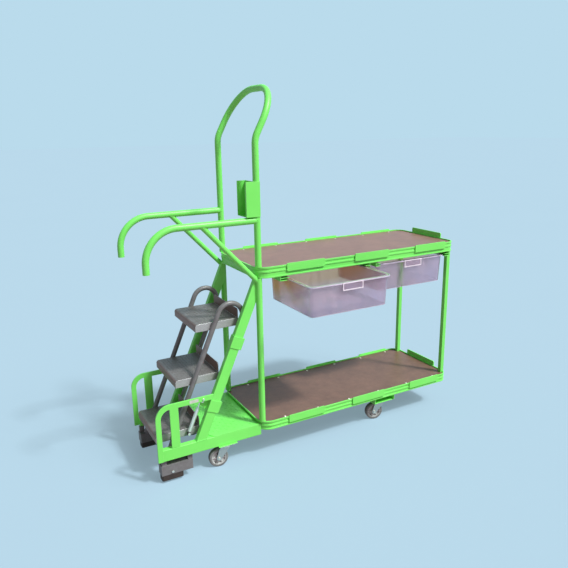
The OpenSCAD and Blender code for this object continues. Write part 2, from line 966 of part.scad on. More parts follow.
module hub_solid() {
    boss_r = 10;
    boss_h = fork_half - clear;
    web_t = 4;
    band_h = tyre_w / 2 - 1;
    band_t = 5;
    translate([trail, 0, wheel_r])
        rotate([90, 0, 0]) {
            rotate_extrude()
                polygon([
                    [axle_d / 2 + fit_gap, -boss_h], [boss_r, -boss_h], [boss_r + 2, -web_t],
                    [hub_r - band_t, -web_t], [hub_r - band_t + 1, -band_h], [hub_r, -band_h],
                    [hub_r, band_h], [hub_r - band_t + 1, band_h], [hub_r - band_t, web_t],
                    [boss_r + 2, web_t], [boss_r, boss_h], [axle_d / 2 + fit_gap, boss_h]
                ]);
            for (i = [0 : 5])
                rotate([0, 0, i * 60])
                    translate([boss_r, -1.5, 3 - band_h])
                        cube([hub_r - band_t - boss_r + 1, 3, 2 * band_h - 6]);
        }
}

module tyre_solid() {
    shoulder = 6;
    half = tyre_w / 2;
    translate([trail, 0, wheel_r])
        rotate([90, 0, 0])
            rotate_extrude() {
                translate([hub_r, -half]) square([wheel_r - shoulder - hub_r, tyre_w]);
                translate([hub_r, shoulder - half]) square([wheel_r - hub_r, tyre_w - 2 * shoulder]);
                for (z = [shoulder - half, half - shoulder])
                    translate([wheel_r - shoulder, z]) circle(shoulder);
            }
}

module at_caster(i) {
    c = caster_list[i];
    translate([c[0], c[1] * caster_y, 0]) rotate([0, 0, c[1] < 0 ? -c[2] : c[2]]) children();
}

module fork_front_near() { color(zinc) at_caster(0) fork_solid(); }
module fork_front_far() { color(zinc) at_caster(1) fork_solid(); }
module fork_rear_near() { color(zinc) at_caster(2) fork_solid(); }
module fork_rear_far() { color(zinc) at_caster(3) fork_solid(); }
module axle_front_near() { color(zinc) at_caster(0) axle_solid(); }
module axle_front_far() { color(zinc) at_caster(1) axle_solid(); }
module axle_rear_near() { color(zinc) at_caster(2) axle_solid(); }
module axle_rear_far() { color(zinc) at_caster(3) axle_solid(); }
module hub_front_near() { color(wheel_grey) at_caster(0) hub_solid(); }
module hub_front_far() { color(wheel_grey) at_caster(1) hub_solid(); }
module hub_rear_near() { color(wheel_grey) at_caster(2) hub_solid(); }
module hub_rear_far() { color(wheel_grey) at_caster(3) hub_solid(); }
module tyre_front_near() { color(wheel_grey) at_caster(0) tyre_solid(); }
module tyre_front_far() { color(wheel_grey) at_caster(1) tyre_solid(); }
module tyre_rear_near() { color(wheel_grey) at_caster(2) tyre_solid(); }
module tyre_rear_far() { color(wheel_grey) at_caster(3) tyre_solid(); }

// Ladder

foot_top = foot_z + foot_rubber_h + foot_bracket_h;
front_leg_bottom = foot_top;
rear_leg_bottom = tread_mid_z - tread_rise - tread_h;

// A side tube: both legs and the arch between them
module ladder_side(side) {
    arch_mid_z = arch_z - leg_r - arch_r;
    front_len = (arch_mid_z - front_leg_bottom) / sin(slope);
    rear_len = (arch_mid_z - rear_leg_bottom) / sin(slope);
    // The arch starts and ends square to the legs, so its front end lies higher than its rear end
    shift = arch_r / tan(slope) * sin(slope);
    margin = 60;
    color(sheet_grey)
        difference() {
            translate([(front_leg_x(arch_mid_z) + rear_leg_x(arch_mid_z)) / 2, side * leg_y, arch_mid_z])
                rotate([0, 90 - slope, 0]) {
                    translate([-arch_r, 0, -front_len - shift])
                        pipe(leg_d, tube_wall, front_len + shift);
                    translate([arch_r, 0, -rear_len - shift])
                        pipe(leg_d, tube_wall, rear_len + shift);
                    translate([-arch_r, 0, 0])
                        elbow(leg_d, tube_wall, arch_r, 180);
                }
            translate([front_leg_x(front_leg_bottom) - margin, side * leg_y - leg_d, front_leg_bottom - 2 * margin])
                cube([2 * margin, 2 * leg_d, 2 * margin]);
            translate([rear_leg_x(rear_leg_bottom) - margin, side * leg_y - leg_d, rear_leg_bottom - 2 * margin])
                cube([2 * margin, 2 * leg_d, 2 * margin]);
        }
}

module ladder_side_near() { ladder_side(-1); }
module ladder_side_far() { ladder_side(1); }

// A folded tread: rounded nosing, side flanges and an upstand behind
module tread(level) {
    z = tread_top_z - level * tread_rise;
    x0 = -tread_front - (tread_rise * level) * run;
    x1 = x0 + tread_depth;
    nose_r = 14;
    kick_r = 12;
    color(sheet_grey) {
        difference() {
            plate_xz(-tread_half, tread_half) {
                translate([x0 + nose_r, z - tread_h]) square([tread_depth - nose_r, tread_h]);
                translate([x0, z - tread_h]) square([tread_depth, tread_h - nose_r]);
                translate([x0 + nose_r, z - nose_r]) circle(nose_r);
            }
            plate_xz(tread_t - tread_half, tread_half - tread_t) {
                translate([x0 + nose_r, z - tread_h - cut])
                    square([tread_depth - nose_r - tread_t, tread_h + cut - tread_t]);
                translate([x0 + tread_t, z - tread_h - cut])
                    square([tread_depth - 2 * tread_t, tread_h + cut - nose_r]);
                translate([x0 + nose_r, z - nose_r]) circle(nose_r - tread_t);
            }
        }
        translate([x1 - tread_t, 0, z])
            rotate([90, 0, 90])
                linear_extrude(tread_t) {
                    round_rect(-tread_half, 0, tread_half, kick_h, kick_r);
                    translate([-tread_half, 0]) square([2 * tread_half, kick_r]);
                }
    }
}

module tread_top() { tread(0); }
module tread_middle() { tread(1); }
module tread_bottom() { tread(2); }

// Folded channel that ties a front leg to its rubber foot, with two stop lugs below the rail
module foot_brackets() {
    sheet = 4;
    lug_len = 24;
    lug_w = 20;
    low = foot_z + foot_rubber_h;
    color(sheet_grey)
        both_sides() {
            difference() {
                translate([foot_x, -foot_outer, low]) cube([bracket_len, foot_w, foot_bracket_h]);
                translate([foot_x + sheet, sheet - foot_outer, low - cut])
                    cube([bracket_len - 2 * sheet, foot_w - 2 * sheet, foot_bracket_h - sheet + cut]);
            }
            for (x = [foot_x + sheet, foot_x + bracket_len - lug_len])
                translate([x, 2 - foot_outer, foot_top]) cube([lug_len, lug_w, rail_z - clear - foot_top]);
        }
}

// The rubber fills the bracket's front part and stands out below it
module rubber_feet() {
    sheet = 4;
    step = 2;
    color(rubber_dark)
        both_sides()
            translate([foot_x + sheet, sheet - foot_outer, foot_z + foot_rubber_h])
                cube([foot_len - sheet, foot_w - 2 * sheet, foot_bracket_h / 2]);
    color(rubber_dark)
        both_sides()
            translate([0, 0, foot_z])
                linear_extrude(foot_rubber_h)
                    round_rect(foot_x + step, step - foot_outer, foot_x + foot_len, foot_w - step - foot_outer, 8);
}

// Gas spring between the bottom tread and the near stringer

spring_y = -(leg_y + 7);
spring_low_z = 216;
spring_low_x = -384;
spring_top_z = 380;
cyl_r = 9;
cyl_bore_r = 7;
rod_r = 4;
eye_r = 9;
eye_w = 12;
eye_bore_r = 4;

function spring_x(z) = spring_low_x + (z - spring_low_z) * run;
spring_len = (spring_top_z - spring_low_z) / sin(slope);

module spring_axis() {
    translate([spring_low_x, spring_y, spring_low_z]) rotate([0, 90 - slope, 0]) children();
}

module spring_eye(at) {
    translate([0, 0, at]) rotate([90, 0, 0]) cylinder(r = eye_r, h = eye_w, center = true);
}

module spring_eye_bore(at) {
    translate([0, 0, at]) rotate([90, 0, 0]) cylinder(r = eye_bore_r + fit_gap, h = 2 * eye_w, center = true);
}

cyl_from = 12;
cyl_to = 136;
end_wall = 8;

module gas_cylinder() {
    color(zinc)
        spring_axis()
            difference() {
                union() {
                    spring_eye(0);
                    translate([0, 0, eye_r - 2]) cylinder(r = 5, h = cyl_from);
                    translate([0, 0, cyl_from]) cylinder(r = cyl_r, h = cyl_to - cyl_from);
                }
                spring_eye_bore(0);
                translate([0, 0, cyl_from + end_wall])
                    cylinder(r = cyl_bore_r, h = cyl_to - cyl_from - 2 * end_wall);
                translate([0, 0, cyl_to - end_wall - cut])
                    cylinder(r = rod_r + fit_gap, h = end_wall + 2 * cut);
            }
}

module gas_rod() {
    piston_h = 10;
    piston_at = cyl_to - end_wall - piston_h - ladder_drop - 14;
    color(zinc)
        spring_axis()
            difference() {
                union() {
                    translate([0, 0, piston_at]) cylinder(r = cyl_bore_r - fit_gap, h = piston_h);
                    translate([0, 0, piston_at]) cylinder(r = rod_r, h = spring_len - piston_at - eye_r + 1);
                    spring_eye(spring_len);
                }
                spring_eye_bore(spring_len);
            }
}

bracket_t = 4;
bracket_y = -rail_y + stringer_t - bracket_t;

module gas_bracket() {
    low = collar_zs[0] - 12;
    high = collar_zs[0] + 36;
    strap = collar_strap / sin(slope);
    nose = spring_x(spring_top_z) - 13;
    color(green)
        difference() {
            plate_xz(bracket_y, bracket_y + bracket_t)
                polygon([
                    [nose, spring_top_z - 14], [stringer_x(low) - stringer_half - strap, low],
                    [stringer_x(high) - stringer_half - strap, high], [nose, spring_top_z + 10]
                ]);
            translate([spring_x(spring_top_z), bracket_y - cut, spring_top_z])
                rotate([-90, 0, 0]) cylinder(r = eye_bore_r + fit_gap, h = bracket_t + 2 * cut);
        }
}

// Fasteners

module bolt_y(x, y0, y1, z, r, head_r, head_h) {
    translate([x, y0, z]) rotate([-90, 0, 0]) cylinder(r = r, h = y1 - y0);
    translate([x, y0 - head_h, z]) rotate([-90, 0, 0]) cylinder(r = head_r, h = head_h, $fn = 6);
}

module frame_fasteners() {
    guard_bolt_x = -314;
    guard_bolt_z = guard_z - guard_w / 2 - 2;
    head_h = 4;
    color(zinc) {
        screws(deck_board_top);
        screws(shelf_board_top);
        bolt_y(spring_x(spring_top_z), bracket_y, spring_y + eye_w / 2, spring_top_z, eye_bore_r, 7, head_h);
        both_sides()
            translate([guard_bolt_x, -rail_y, guard_bolt_z])
                rotate([90, 0, 0]) cylinder(r = 6, h = head_h, $fn = 6);
    }
}

module ladder_fasteners() {
    head_h = 5;
    foot_bolt_z = foot_z + foot_rubber_h + 13;
    color(zinc) {
        bolt_y(spring_low_x, spring_y - eye_w / 2 - clear, -tread_half, spring_low_z, eye_bore_r, 8, head_h);
        both_sides()
            translate([foot_x + foot_len / 2, -foot_outer, foot_bolt_z])
                rotate([90, 0, 0]) cylinder(r = 6, h = head_h - 1, $fn = 24);
    }
}

upright_hoop();
handrail_near();
handrail_far();
handrail_caps();
brace_near();
brace_far();
stringer_near();
stringer_far();
guide_collars();
base_rail_near();
base_rail_far();
base_cross_members();
floor_plate();
guard_near();
guard_far();
deck_rim();
deck_board();
shelf_rim();
shelf_board();
retaining_strips();
end_stops();
post_near();
post_far();
tray_runners();
document_holder();
caster_channel();
caster_pads();
caster_heads();
gas_bracket();
gas_rod();
frame_fasteners();
ladder_side_near();
ladder_side_far();
tread_top();
tread_middle();
tread_bottom();
foot_brackets();
rubber_feet();
gas_cylinder();
ladder_fasteners();
tray_left();
tray_right();
fork_front_near();
axle_front_near();
hub_front_near();
tyre_front_near();
fork_front_far();
axle_front_far();
hub_front_far();
tyre_front_far();
fork_rear_near();
axle_rear_near();
hub_rear_near();
tyre_rear_near();
fork_rear_far();
axle_rear_far();
hub_rear_far();
tyre_rear_far();
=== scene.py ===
# %% [markdown]
# An order picking trolley: a painted steel frame with two plywood decks, a sprung step ladder,
# two clear trays and four swivel casters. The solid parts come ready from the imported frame. This
# lesson dresses them: it gives each finish a procedural material, adds the small made things that
# a solid model leaves out (weld beads, raised floor bars, tread studs, screw drives, label
# pockets), and photographs the result on a plain pale floor.

# %% Load the frame
import json
import math

import bpy
from mathutils import Matrix, Vector


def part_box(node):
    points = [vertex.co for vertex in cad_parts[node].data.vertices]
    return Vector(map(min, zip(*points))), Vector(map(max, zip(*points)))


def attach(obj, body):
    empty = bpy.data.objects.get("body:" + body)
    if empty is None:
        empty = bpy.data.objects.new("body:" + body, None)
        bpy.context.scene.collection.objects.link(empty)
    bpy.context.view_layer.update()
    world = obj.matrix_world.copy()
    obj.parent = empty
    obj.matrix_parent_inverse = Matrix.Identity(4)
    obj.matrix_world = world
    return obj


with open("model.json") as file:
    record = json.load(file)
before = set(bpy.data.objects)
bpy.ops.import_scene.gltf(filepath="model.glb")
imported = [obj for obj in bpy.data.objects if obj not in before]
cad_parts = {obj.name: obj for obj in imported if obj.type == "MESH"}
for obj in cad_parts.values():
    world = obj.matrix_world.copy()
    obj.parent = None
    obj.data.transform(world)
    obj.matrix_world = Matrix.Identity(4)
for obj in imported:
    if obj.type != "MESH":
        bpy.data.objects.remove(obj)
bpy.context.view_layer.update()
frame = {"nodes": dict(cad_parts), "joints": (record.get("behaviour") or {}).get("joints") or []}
MM = 0.001
print("nodes loaded:", len(frame["nodes"]))

# %% [markdown]
# Colours are written as they look on a screen, in sRGB hex. Cycles works in linear light, so one
# function turns a hex value to linear numbers, and every colour in the lesson goes through it.

# %% Colour helper


def paint(hex_colour):
    """Turns an sRGB hex value such as #62D84E to linear RGBA."""
    parts = [int(hex_colour[i:i + 2], 16) / 255 for i in (1, 3, 5)]
    linear = [c / 12.92 if c <= 0.04045 else ((c + 0.055) / 1.055) ** 2.4 for c in parts]
    return (*linear, 1.0)


print("paint #808080 is linear", round(paint("#808080")[0], 3))

# %% [markdown]
# A material is a small graph of nodes. Three helpers keep each one readable: the first starts a
# material and returns its graph, its shader and its coordinates, the second adds one node with
# its settings and its links, and the third joins the results to the shader. The coordinates are the
# object's own metres, so a pattern of 2 mm has a scale of 500, and it stays on the part when the
# part moves.

# %% Material helpers


def new_finish(name, roughness, metallic=0.0, ior=1.5):
    """Starts a material: returns it with its node graph, its shader and its object coordinates."""
    material = bpy.data.materials.new(name)
    material.use_nodes = True
    tree = material.node_tree
    shader = tree.nodes["Principled BSDF"]
    shader.inputs["Roughness"].default_value = roughness
    shader.inputs["Metallic"].default_value = metallic
    shader.inputs["IOR"].default_value = ior
    coords = tree.nodes.new("ShaderNodeTexCoord").outputs["Object"]
    return material, tree, shader, coords


def add_node(tree, kind, settings, links=()):
    """Adds one node. Settings name a property or an input; links are pairs of input and socket."""
    made = tree.nodes.new(kind)
    for key, value in settings.items():
        if isinstance(key, str) and hasattr(made, key):
            setattr(made, key, value)
        else:
            made.inputs[key].default_value = value
    for key, socket in links:
        tree.links.new(socket, made.inputs[key])
    return made


def wire(tree, shader, sockets):
    """Joins finished sockets to the shader's inputs of these names."""
    for name, socket in sockets.items():
        tree.links.new(socket, shader.inputs[name])


def per_mm(size):
    """Scale of a texture whose features are this many millimetres apart."""
    return 1000.0 / size


print("a 2 mm pattern has scale", per_mm(2.0))

# %% [markdown]
# The frame's finish is a powder coat: polyester powder baked on steel. It has a fine
# orange-peel surface about 2 mm across, a soft gloss and a little dust. Its edges are painted
# slightly paler, partly because the coat is thin there and partly as a painted highlight where a
# rounded edge would catch light. Sharp solid edges catch no light, so a Bevel node rounds their
# shading by a millimetre, and the difference between the rounded and the true normal marks the
# edges. Later finishes find their own edges in the same way.

# %% Powder coat


def find_edges(tree, radius_mm, samples, start, full, most=1.0):
    """Marks a solid's edges: returns the rounded normal, the true normal and the mark."""
    soft = add_node(tree, "ShaderNodeBevel", {"samples": samples, "Radius": radius_mm * MM})
    true = add_node(tree, "ShaderNodeNewGeometry", {})
    same = add_node(tree, "ShaderNodeVectorMath", {"operation": "DOT_PRODUCT"},
                    [(0, soft.outputs["Normal"]), (1, true.outputs["Normal"])])
    mark = add_node(tree, "ShaderNodeMapRange",
                    {"From Min": start, "From Max": full, "To Max": most},
                    [("Value", same.outputs["Value"])])
    return soft.outputs["Normal"], true.outputs["Normal"], mark.outputs["Result"]


def powder_coat(name, light, deep, edge):
    """A baked coat in two close tones, paler along the edges: thin coat and painted highlight."""
    material, tree, shader, coords = new_finish(name, 0.34)
    cloud = add_node(tree, "ShaderNodeTexNoise", {"Scale": per_mm(160.0), "Detail": 3.0},
                     [("Vector", coords)])
    base = add_node(tree, "ShaderNodeMix", {"data_type": "RGBA", 6: paint(deep), 7: paint(light)},
                    [(0, cloud.outputs["Fac"])])
    rounded, _, rim = find_edges(tree, radius_mm=1.2, samples=8, start=0.97, full=0.84, most=0.55)
    # The edges are painted paler: partly thin coat, partly a painted highlight.
    thin_coat_and_highlight = add_node(tree, "ShaderNodeMix", {"data_type": "RGBA", 7: paint(edge)},
                    [(0, rim), (6, base.outputs[2])])
    dust = add_node(tree, "ShaderNodeTexNoise", {"Scale": per_mm(24.0), "Detail": 5.0},
                    [("Vector", coords)])
    rough = add_node(tree, "ShaderNodeMapRange", {"To Min": 0.4, "To Max": 0.58},
                     [("Value", dust.outputs["Fac"])])
    peel = add_node(tree, "ShaderNodeTexNoise", {"Scale": per_mm(2.0), "Detail": 2.0},
                    [("Vector", coords)])
    bump = add_node(tree, "ShaderNodeBump", {"Strength": 0.06, "Distance": 0.1 * MM},
                    [("Height", peel.outputs["Fac"]), ("Normal", rounded)])
    wire(tree, shader, {"Base Color": thin_coat_and_highlight.outputs[2], "Roughness": rough.outputs["Result"],
                        "Normal": bump.outputs["Normal"]})
    shader.inputs["Coat Weight"].default_value = 0.12
    shader.inputs["Coat Roughness"].default_value = 0.25
    return material


# The third colour is the paler edge: thin coat and painted highlight.
GREEN_COAT = powder_coat("green_powder_coat", "#7EF06C", "#6EE05A", "#B4F8A4")
print("made", GREEN_COAT.name)

# %% [markdown]
# The ladder's tubes and feet have a satin grey coat with a fine sand texture, so light spreads wide
# on them, and shoes and boxes leave soft scuffs. A helper mixes two tones by a noise, for this
# finish and for others that wear in patches.

# %% Satin coat


def mottle(tree, coords, deep, light, size_mm, detail, roughness, low, high):
    """Two tones mixed where a noise lies between low and high: returns the noise and the colour."""
    noise = add_node(tree, "ShaderNodeTexNoise",
                     {"Scale": per_mm(size_mm), "Detail": detail, "Roughness": roughness},
                     [("Vector", coords)])
    spread = add_node(tree, "ShaderNodeMapRange", {"From Min": low, "From Max": high},
                      [("Value", noise.outputs["Fac"])])
    tone = add_node(tree, "ShaderNodeMix", {"data_type": "RGBA", 6: paint(deep), 7: paint(light)},
                    [(0, spread.outputs["Result"])])
    return noise.outputs["Fac"], tone.outputs[2]


def satin_coat(name, light, deep):
    """A satin coat with a sand texture and soft scuffs."""
    material, tree, shader, coords = new_finish(name, 0.4)
    grain = add_node(tree, "ShaderNodeTexNoise", {"Scale": per_mm(1.2), "Detail": 3.0},
                     [("Vector", coords)])
    scuff, base = mottle(tree, coords, deep, light, size_mm=26.0, detail=8.0, roughness=0.7,
                         low=0.2, high=0.8)
    rough = add_node(tree, "ShaderNodeMapRange", {"To Min": 0.28, "To Max": 0.5},
                     [("Value", scuff)])
    soft = add_node(tree, "ShaderNodeBevel", {"samples": 4, "Radius": 1.0 * MM})
    bump = add_node(tree, "ShaderNodeBump", {"Strength": 0.15, "Distance": 0.1 * MM},
                    [("Height", grain.outputs["Fac"]), ("Normal", soft.outputs["Normal"])])
    wire(tree, shader, {"Base Color": base, "Roughness": rough.outputs["Result"],
                        "Normal": bump.outputs["Normal"]})
    return material


GREY_COAT = satin_coat("satin_grey_powder_coat", "#7C7F80", "#615F5D")
print("made", GREY_COAT.name)

# %% [markdown]
# The treads are pressed from knurled steel sheet. Their tops are painted darker than the side
# flanges by the way each face points, which is painted shade, with patches of real dirt mixed in
# by a noise. The round nosings face away from the light and are painted brown: painted shade.
# Along the folds a bright line is partly polish from feet and partly a painted highlight: the Bevel
# node finds them, and a noise breaks the bright line up. The knurl's pits are painted dark, a
# painted shade in the recesses. The knurl of small diamonds is drawn at 5 mm, a little coarser than
# real, so that it shows at this distance. The studs on top are the same sheet, but the line along
# their folds is painted only a little lighter than their tops.

# %% Knurled tread sheet
# Painted shade for the pits of the knurl.
PIT_SHADE = "#3A3532"


def knurled_sheet(name, side_tone, dirt, nosing_shade, fold_polish_and_highlight):
    """Knurled steel: darker on top (dirt and painted shade), painted shade on the nosing, a bright
    line along its folds (polish and painted highlight).
    """
    material, tree, shader, coords = new_finish(name, 0.45, metallic=0.3)
    rounded, true, fold = find_edges(tree, radius_mm=2.5, samples=6, start=0.985, full=0.8)
    facing = add_node(tree, "ShaderNodeSeparateXYZ", {}, [("Vector", true)])
    patch = add_node(tree, "ShaderNodeTexNoise",
                     {"Scale": per_mm(30.0), "Detail": 8.0, "Roughness": 0.7}, [("Vector", coords)])
    # Faces that point up are painted darker: painted shade, with dirt patches from the noise below.
    top_shade_share = add_node(tree, "ShaderNodeMapRange", {"From Min": 0.3, "From Max": 0.9, "To Max": 0.8},
                      [("Value", facing.outputs["Z"])])
    on_top = add_node(tree, "ShaderNodeMath", {"operation": "MULTIPLY_ADD", 1: 0.6, 2: -0.3},
                      [(0, patch.outputs["Fac"])])
    top_dirt_and_shade_mask = add_node(tree, "ShaderNodeMath", {"operation": "ADD", "use_clamp": True},
                     [(0, top_shade_share.outputs["Result"]), (1, on_top.outputs["Value"])])
    top_dirt_and_shade_colour = add_node(tree, "ShaderNodeMix", {"data_type": "RGBA", 6: paint(side_tone), 7: paint(dirt)},
                      [(0, top_dirt_and_shade_mask.outputs["Value"])])
    # Faces that point to -X, away from the light, are painted brown: painted shade.
    forward = add_node(tree, "ShaderNodeMapRange",
                       {"From Min": -0.3, "From Max": -0.9, "To Max": 0.85},
                       [("Value", facing.outputs["X"])])
    nosing_shaded = add_node(tree, "ShaderNodeMix", {"data_type": "RGBA", 7: paint(nosing_shade)},
                      [(0, forward.outputs["Result"]), (6, top_dirt_and_shade_colour.outputs[2])])
    turned = add_node(tree, "ShaderNodeMapping", {"Rotation": (0.78, 0.0, 0.78)},
                      [("Vector", coords)])
    weave = add_node(tree, "ShaderNodeTexVoronoi",
                     {"distance": "MANHATTAN", "Scale": per_mm(5.0), "Randomness": 0.0},
                     [("Vector", turned.outputs["Vector"])])
    # The knurl's pits are painted dark: painted shade in the recesses.
    pit_shade_share = add_node(tree, "ShaderNodeMapRange",
                    {"From Min": 0.1, "From Max": 0.6, "To Min": 0.0, "To Max": 0.45},
                    [("Value", weave.outputs["Distance"])])
    pit_shaded = add_node(tree, "ShaderNodeMix", {"data_type": "RGBA", 7: paint(PIT_SHADE)},
                      [(0, pit_shade_share.outputs["Result"]), (6, nosing_shaded.outputs[2])])
    # A bright line along the folds: partly polish, partly a painted highlight.
    flicker = add_node(tree, "ShaderNodeTexNoise", {"Scale": per_mm(9.0), "Detail": 3.0},
                       [("Vector", coords)])
    broken = add_node(tree, "ShaderNodeMapRange", {"From Min": 0.35, "From Max": 0.55},
                      [("Value", flicker.outputs["Fac"])])
    line = add_node(tree, "ShaderNodeMath", {"operation": "MULTIPLY"},
                    [(0, fold), (1, broken.outputs["Result"])])
    base = add_node(tree, "ShaderNodeMix", {"data_type": "RGBA", 7: paint(fold_polish_and_highlight)},
                    [(0, line.outputs["Value"]), (6, pit_shaded.outputs[2])])
    bump = add_node(tree, "ShaderNodeBump", {"Strength": 0.6, "Distance": 0.8 * MM},
                    [("Height", weave.outputs["Distance"]), ("Normal", rounded)])
    wire(tree, shader, {"Base Color": base.outputs[2], "Normal": bump.outputs["Normal"]})
    return material


# Colours: side flanges, tops (dirt and painted shade), nosings (painted shade), folds (polish and
# painted highlight).
TREAD_SHEET = knurled_sheet("knurled_tread_sheet", "#D2D7D5", "#7E7875", "#8A5437", "#F4F7F6")
TREAD_STUDS = knurled_sheet("worn_tread_studs", "#8E8A87", "#7A7471", "#8A5437", "#85807D")
print("made", TREAD_SHEET.name, "and", TREAD_STUDS.name)

# %% [markdown]
# The decks are birch plywood with a brown phenolic film, pressed against a wire mesh so that
# boxes don't slip. The film is hard, with a soft sheen, patches of wear and dust, long faint
# scratches from sliding goods, and a mesh print of 3 mm. The print is drawn as 4 mm so that it
# shows. The lower deck's copy of the film is painted darker than the shelf's: painted shade, for
# the shelf above it.

# %% Phenolic film plywood


def phenolic_film_plywood(name, light, deep, scratch):
    """A pressed brown film with wear patches and long scratches."""
    material, tree, shader, coords = new_finish(name, 0.4, ior=1.55)
    cloud, base = mottle(tree, coords, deep, light, size_mm=80.0, detail=9.0, roughness=0.8,
                         low=0.36, high=0.64)
    drawn_out = add_node(tree, "ShaderNodeMapping",
                         {"Scale": (0.06, 1.0, 1.0), "Rotation": (0.0, 0.0, 0.12)},
                         [("Vector", coords)])
    lines = add_node(tree, "ShaderNodeTexNoise", {"Scale": per_mm(5.0), "Detail": 4.0},
                     [("Vector", drawn_out.outputs["Vector"])])
    thin = add_node(tree, "ShaderNodeMapRange",
                    {"From Min": 0.62, "From Max": 0.74, "To Min": 0.0, "To Max": 0.35},
                    [("Value", lines.outputs["Fac"])])
    scratched = add_node(tree, "ShaderNodeMix", {"data_type": "RGBA", 7: paint(scratch)},
                         [(0, thin.outputs["Result"]), (6, base)])
    mesh_print = add_node(tree, "ShaderNodeTexVoronoi", {"Scale": per_mm(4.0), "Randomness": 0.15},
                          [("Vector", coords)])
    bump = add_node(tree, "ShaderNodeBump", {"Strength": 0.25, "Distance": 0.3 * MM},
                    [("Height", mesh_print.outputs["Distance"])])
    rough = add_node(tree, "ShaderNodeMapRange", {"To Min": 0.32, "To Max": 0.5},
                     [("Value", cloud)])
    shader.inputs["Specular IOR Level"].default_value = 0.3
    wire(tree, shader, {"Base Color": scratched.outputs[2], "Roughness": rough.outputs["Result"],
                        "Normal": bump.outputs["Normal"]})
    return material


SHELF_FILM = phenolic_film_plywood("brown_phenolic_film", "#907065", "#7D5E53", "#AE9084")
# The lower deck's colours are painted darker: painted shade under the shelf.
SHADED_DECK_FILM = phenolic_film_plywood("shaded_phenolic_film", "#7B6052", "#684F43", "#917A6D")
print("made", SHELF_FILM.name, "and", SHADED_DECK_FILM.name)

# %% [markdown]
# Casters, bolts and the spring are zinc-plated steel: a metal, so its colour is in its
# reflections. Plating leaves faint blue and yellow clouds and a slightly uneven polish. The
# spring's rod is hard chrome, the same recipe with a lower roughness, and its cylinder has a
# silver lacquer, the same recipe with a higher one. The casters' forks, near the floor, are dulled.

# %% Zinc plate and chrome


def plated_steel(name, light, cloud_colour, smoothest, roughest):
    """Plated steel with faint clouds and an uneven polish."""
    material, tree, shader, coords = new_finish(name, roughest, metallic=1.0)
    cloud = add_node(tree, "ShaderNodeTexNoise", {"Scale": per_mm(14.0), "Detail": 4.0},
                     [("Vector", coords)])
    base = add_node(tree, "ShaderNodeMix",
                    {"data_type": "RGBA", 6: paint(light), 7: paint(cloud_colour)},
                    [(0, cloud.outputs["Fac"])])
    rough = add_node(tree, "ShaderNodeMapRange", {"To Min": smoothest, "To Max": roughest},
                     [("Value", cloud.outputs["Fac"])])
    soft = add_node(tree, "ShaderNodeBevel", {"samples": 4, "Radius": 0.8 * MM})
    wire(tree, shader, {"Base Color": base.outputs[2], "Roughness": rough.outputs["Result"],
                        "Normal": soft.outputs["Normal"]})
    return material


ZINC = plated_steel("bright_zinc_plate", "#FFF6EA", "#E8DCCB", 0.26, 0.44)
DULL_ZINC = plated_steel("dull_zinc_plate", "#D4CEC7", "#B4AEA8", 0.34, 0.52)
CHROME = plated_steel("hard_chrome", "#FFF8F0", "#F0E6DA", 0.1, 0.2)
SILVER_LACQUER = plated_steel("silver_lacquered_steel", "#FFFAF4", "#F6EAE0", 0.48, 0.62)
print("made", ZINC.name, DULL_ZINC.name, CHROME.name, "and", SILVER_LACQUER.name)

# %% [markdown]
# The feet are black-brown moulded rubber, the wheels grey moulded polypropylene and the tyres grey
# thermoplastic rubber. All are matt to satin with a fine moulded grain, and dirt from the floor
# darkens or greys them in soft patches.

# %% Moulded rubber and plastic


def moulded(name, light, deep, roughness, grain_mm, depth_mm):
    """A matt to satin moulding with a fine grain and soft patches of dirt."""
    material, tree, shader, coords = new_finish(name, roughness, ior=1.49)
    patch, base = mottle(tree, coords, deep, light, size_mm=18.0, detail=5.0, roughness=0.65,
                         low=0.3, high=0.7)
    grain = add_node(tree, "ShaderNodeTexNoise", {"Scale": per_mm(grain_mm), "Detail": 3.0},
                     [("Vector", coords)])
    soft = add_node(tree, "ShaderNodeBevel", {"samples": 4, "Radius": 1.0 * MM})
    bump = add_node(tree, "ShaderNodeBump", {"Strength": 0.3, "Distance": depth_mm * MM},
                    [("Height", grain.outputs["Fac"]), ("Normal", soft.outputs["Normal"])])
    rough = add_node(tree, "ShaderNodeMapRange",
                     {"To Min": roughness - 0.08, "To Max": roughness + 0.08}, [("Value", patch)])
    wire(tree, shader, {"Base Color": base, "Roughness": rough.outputs["Result"],
                        "Normal": bump.outputs["Normal"]})
    return material


FOOT_RUBBER = moulded("brown_black_rubber", "#42372F", "#2C2420", 0.68, 1.5, 0.3)
BUSH_RUBBER = moulded("black_bush_rubber", "#2B2A29", "#1B1A1A", 0.6, 1.2, 0.2)
WHEEL_PLASTIC = moulded("grey_polypropylene", "#C6CCC9", "#ACB2AF", 0.42, 1.0, 0.1)
TYRE_RUBBER = moulded("grey_thermoplastic_rubber", "#838A87", "#6B716E", 0.62, 1.6, 0.25)
print("made four moulded finishes")
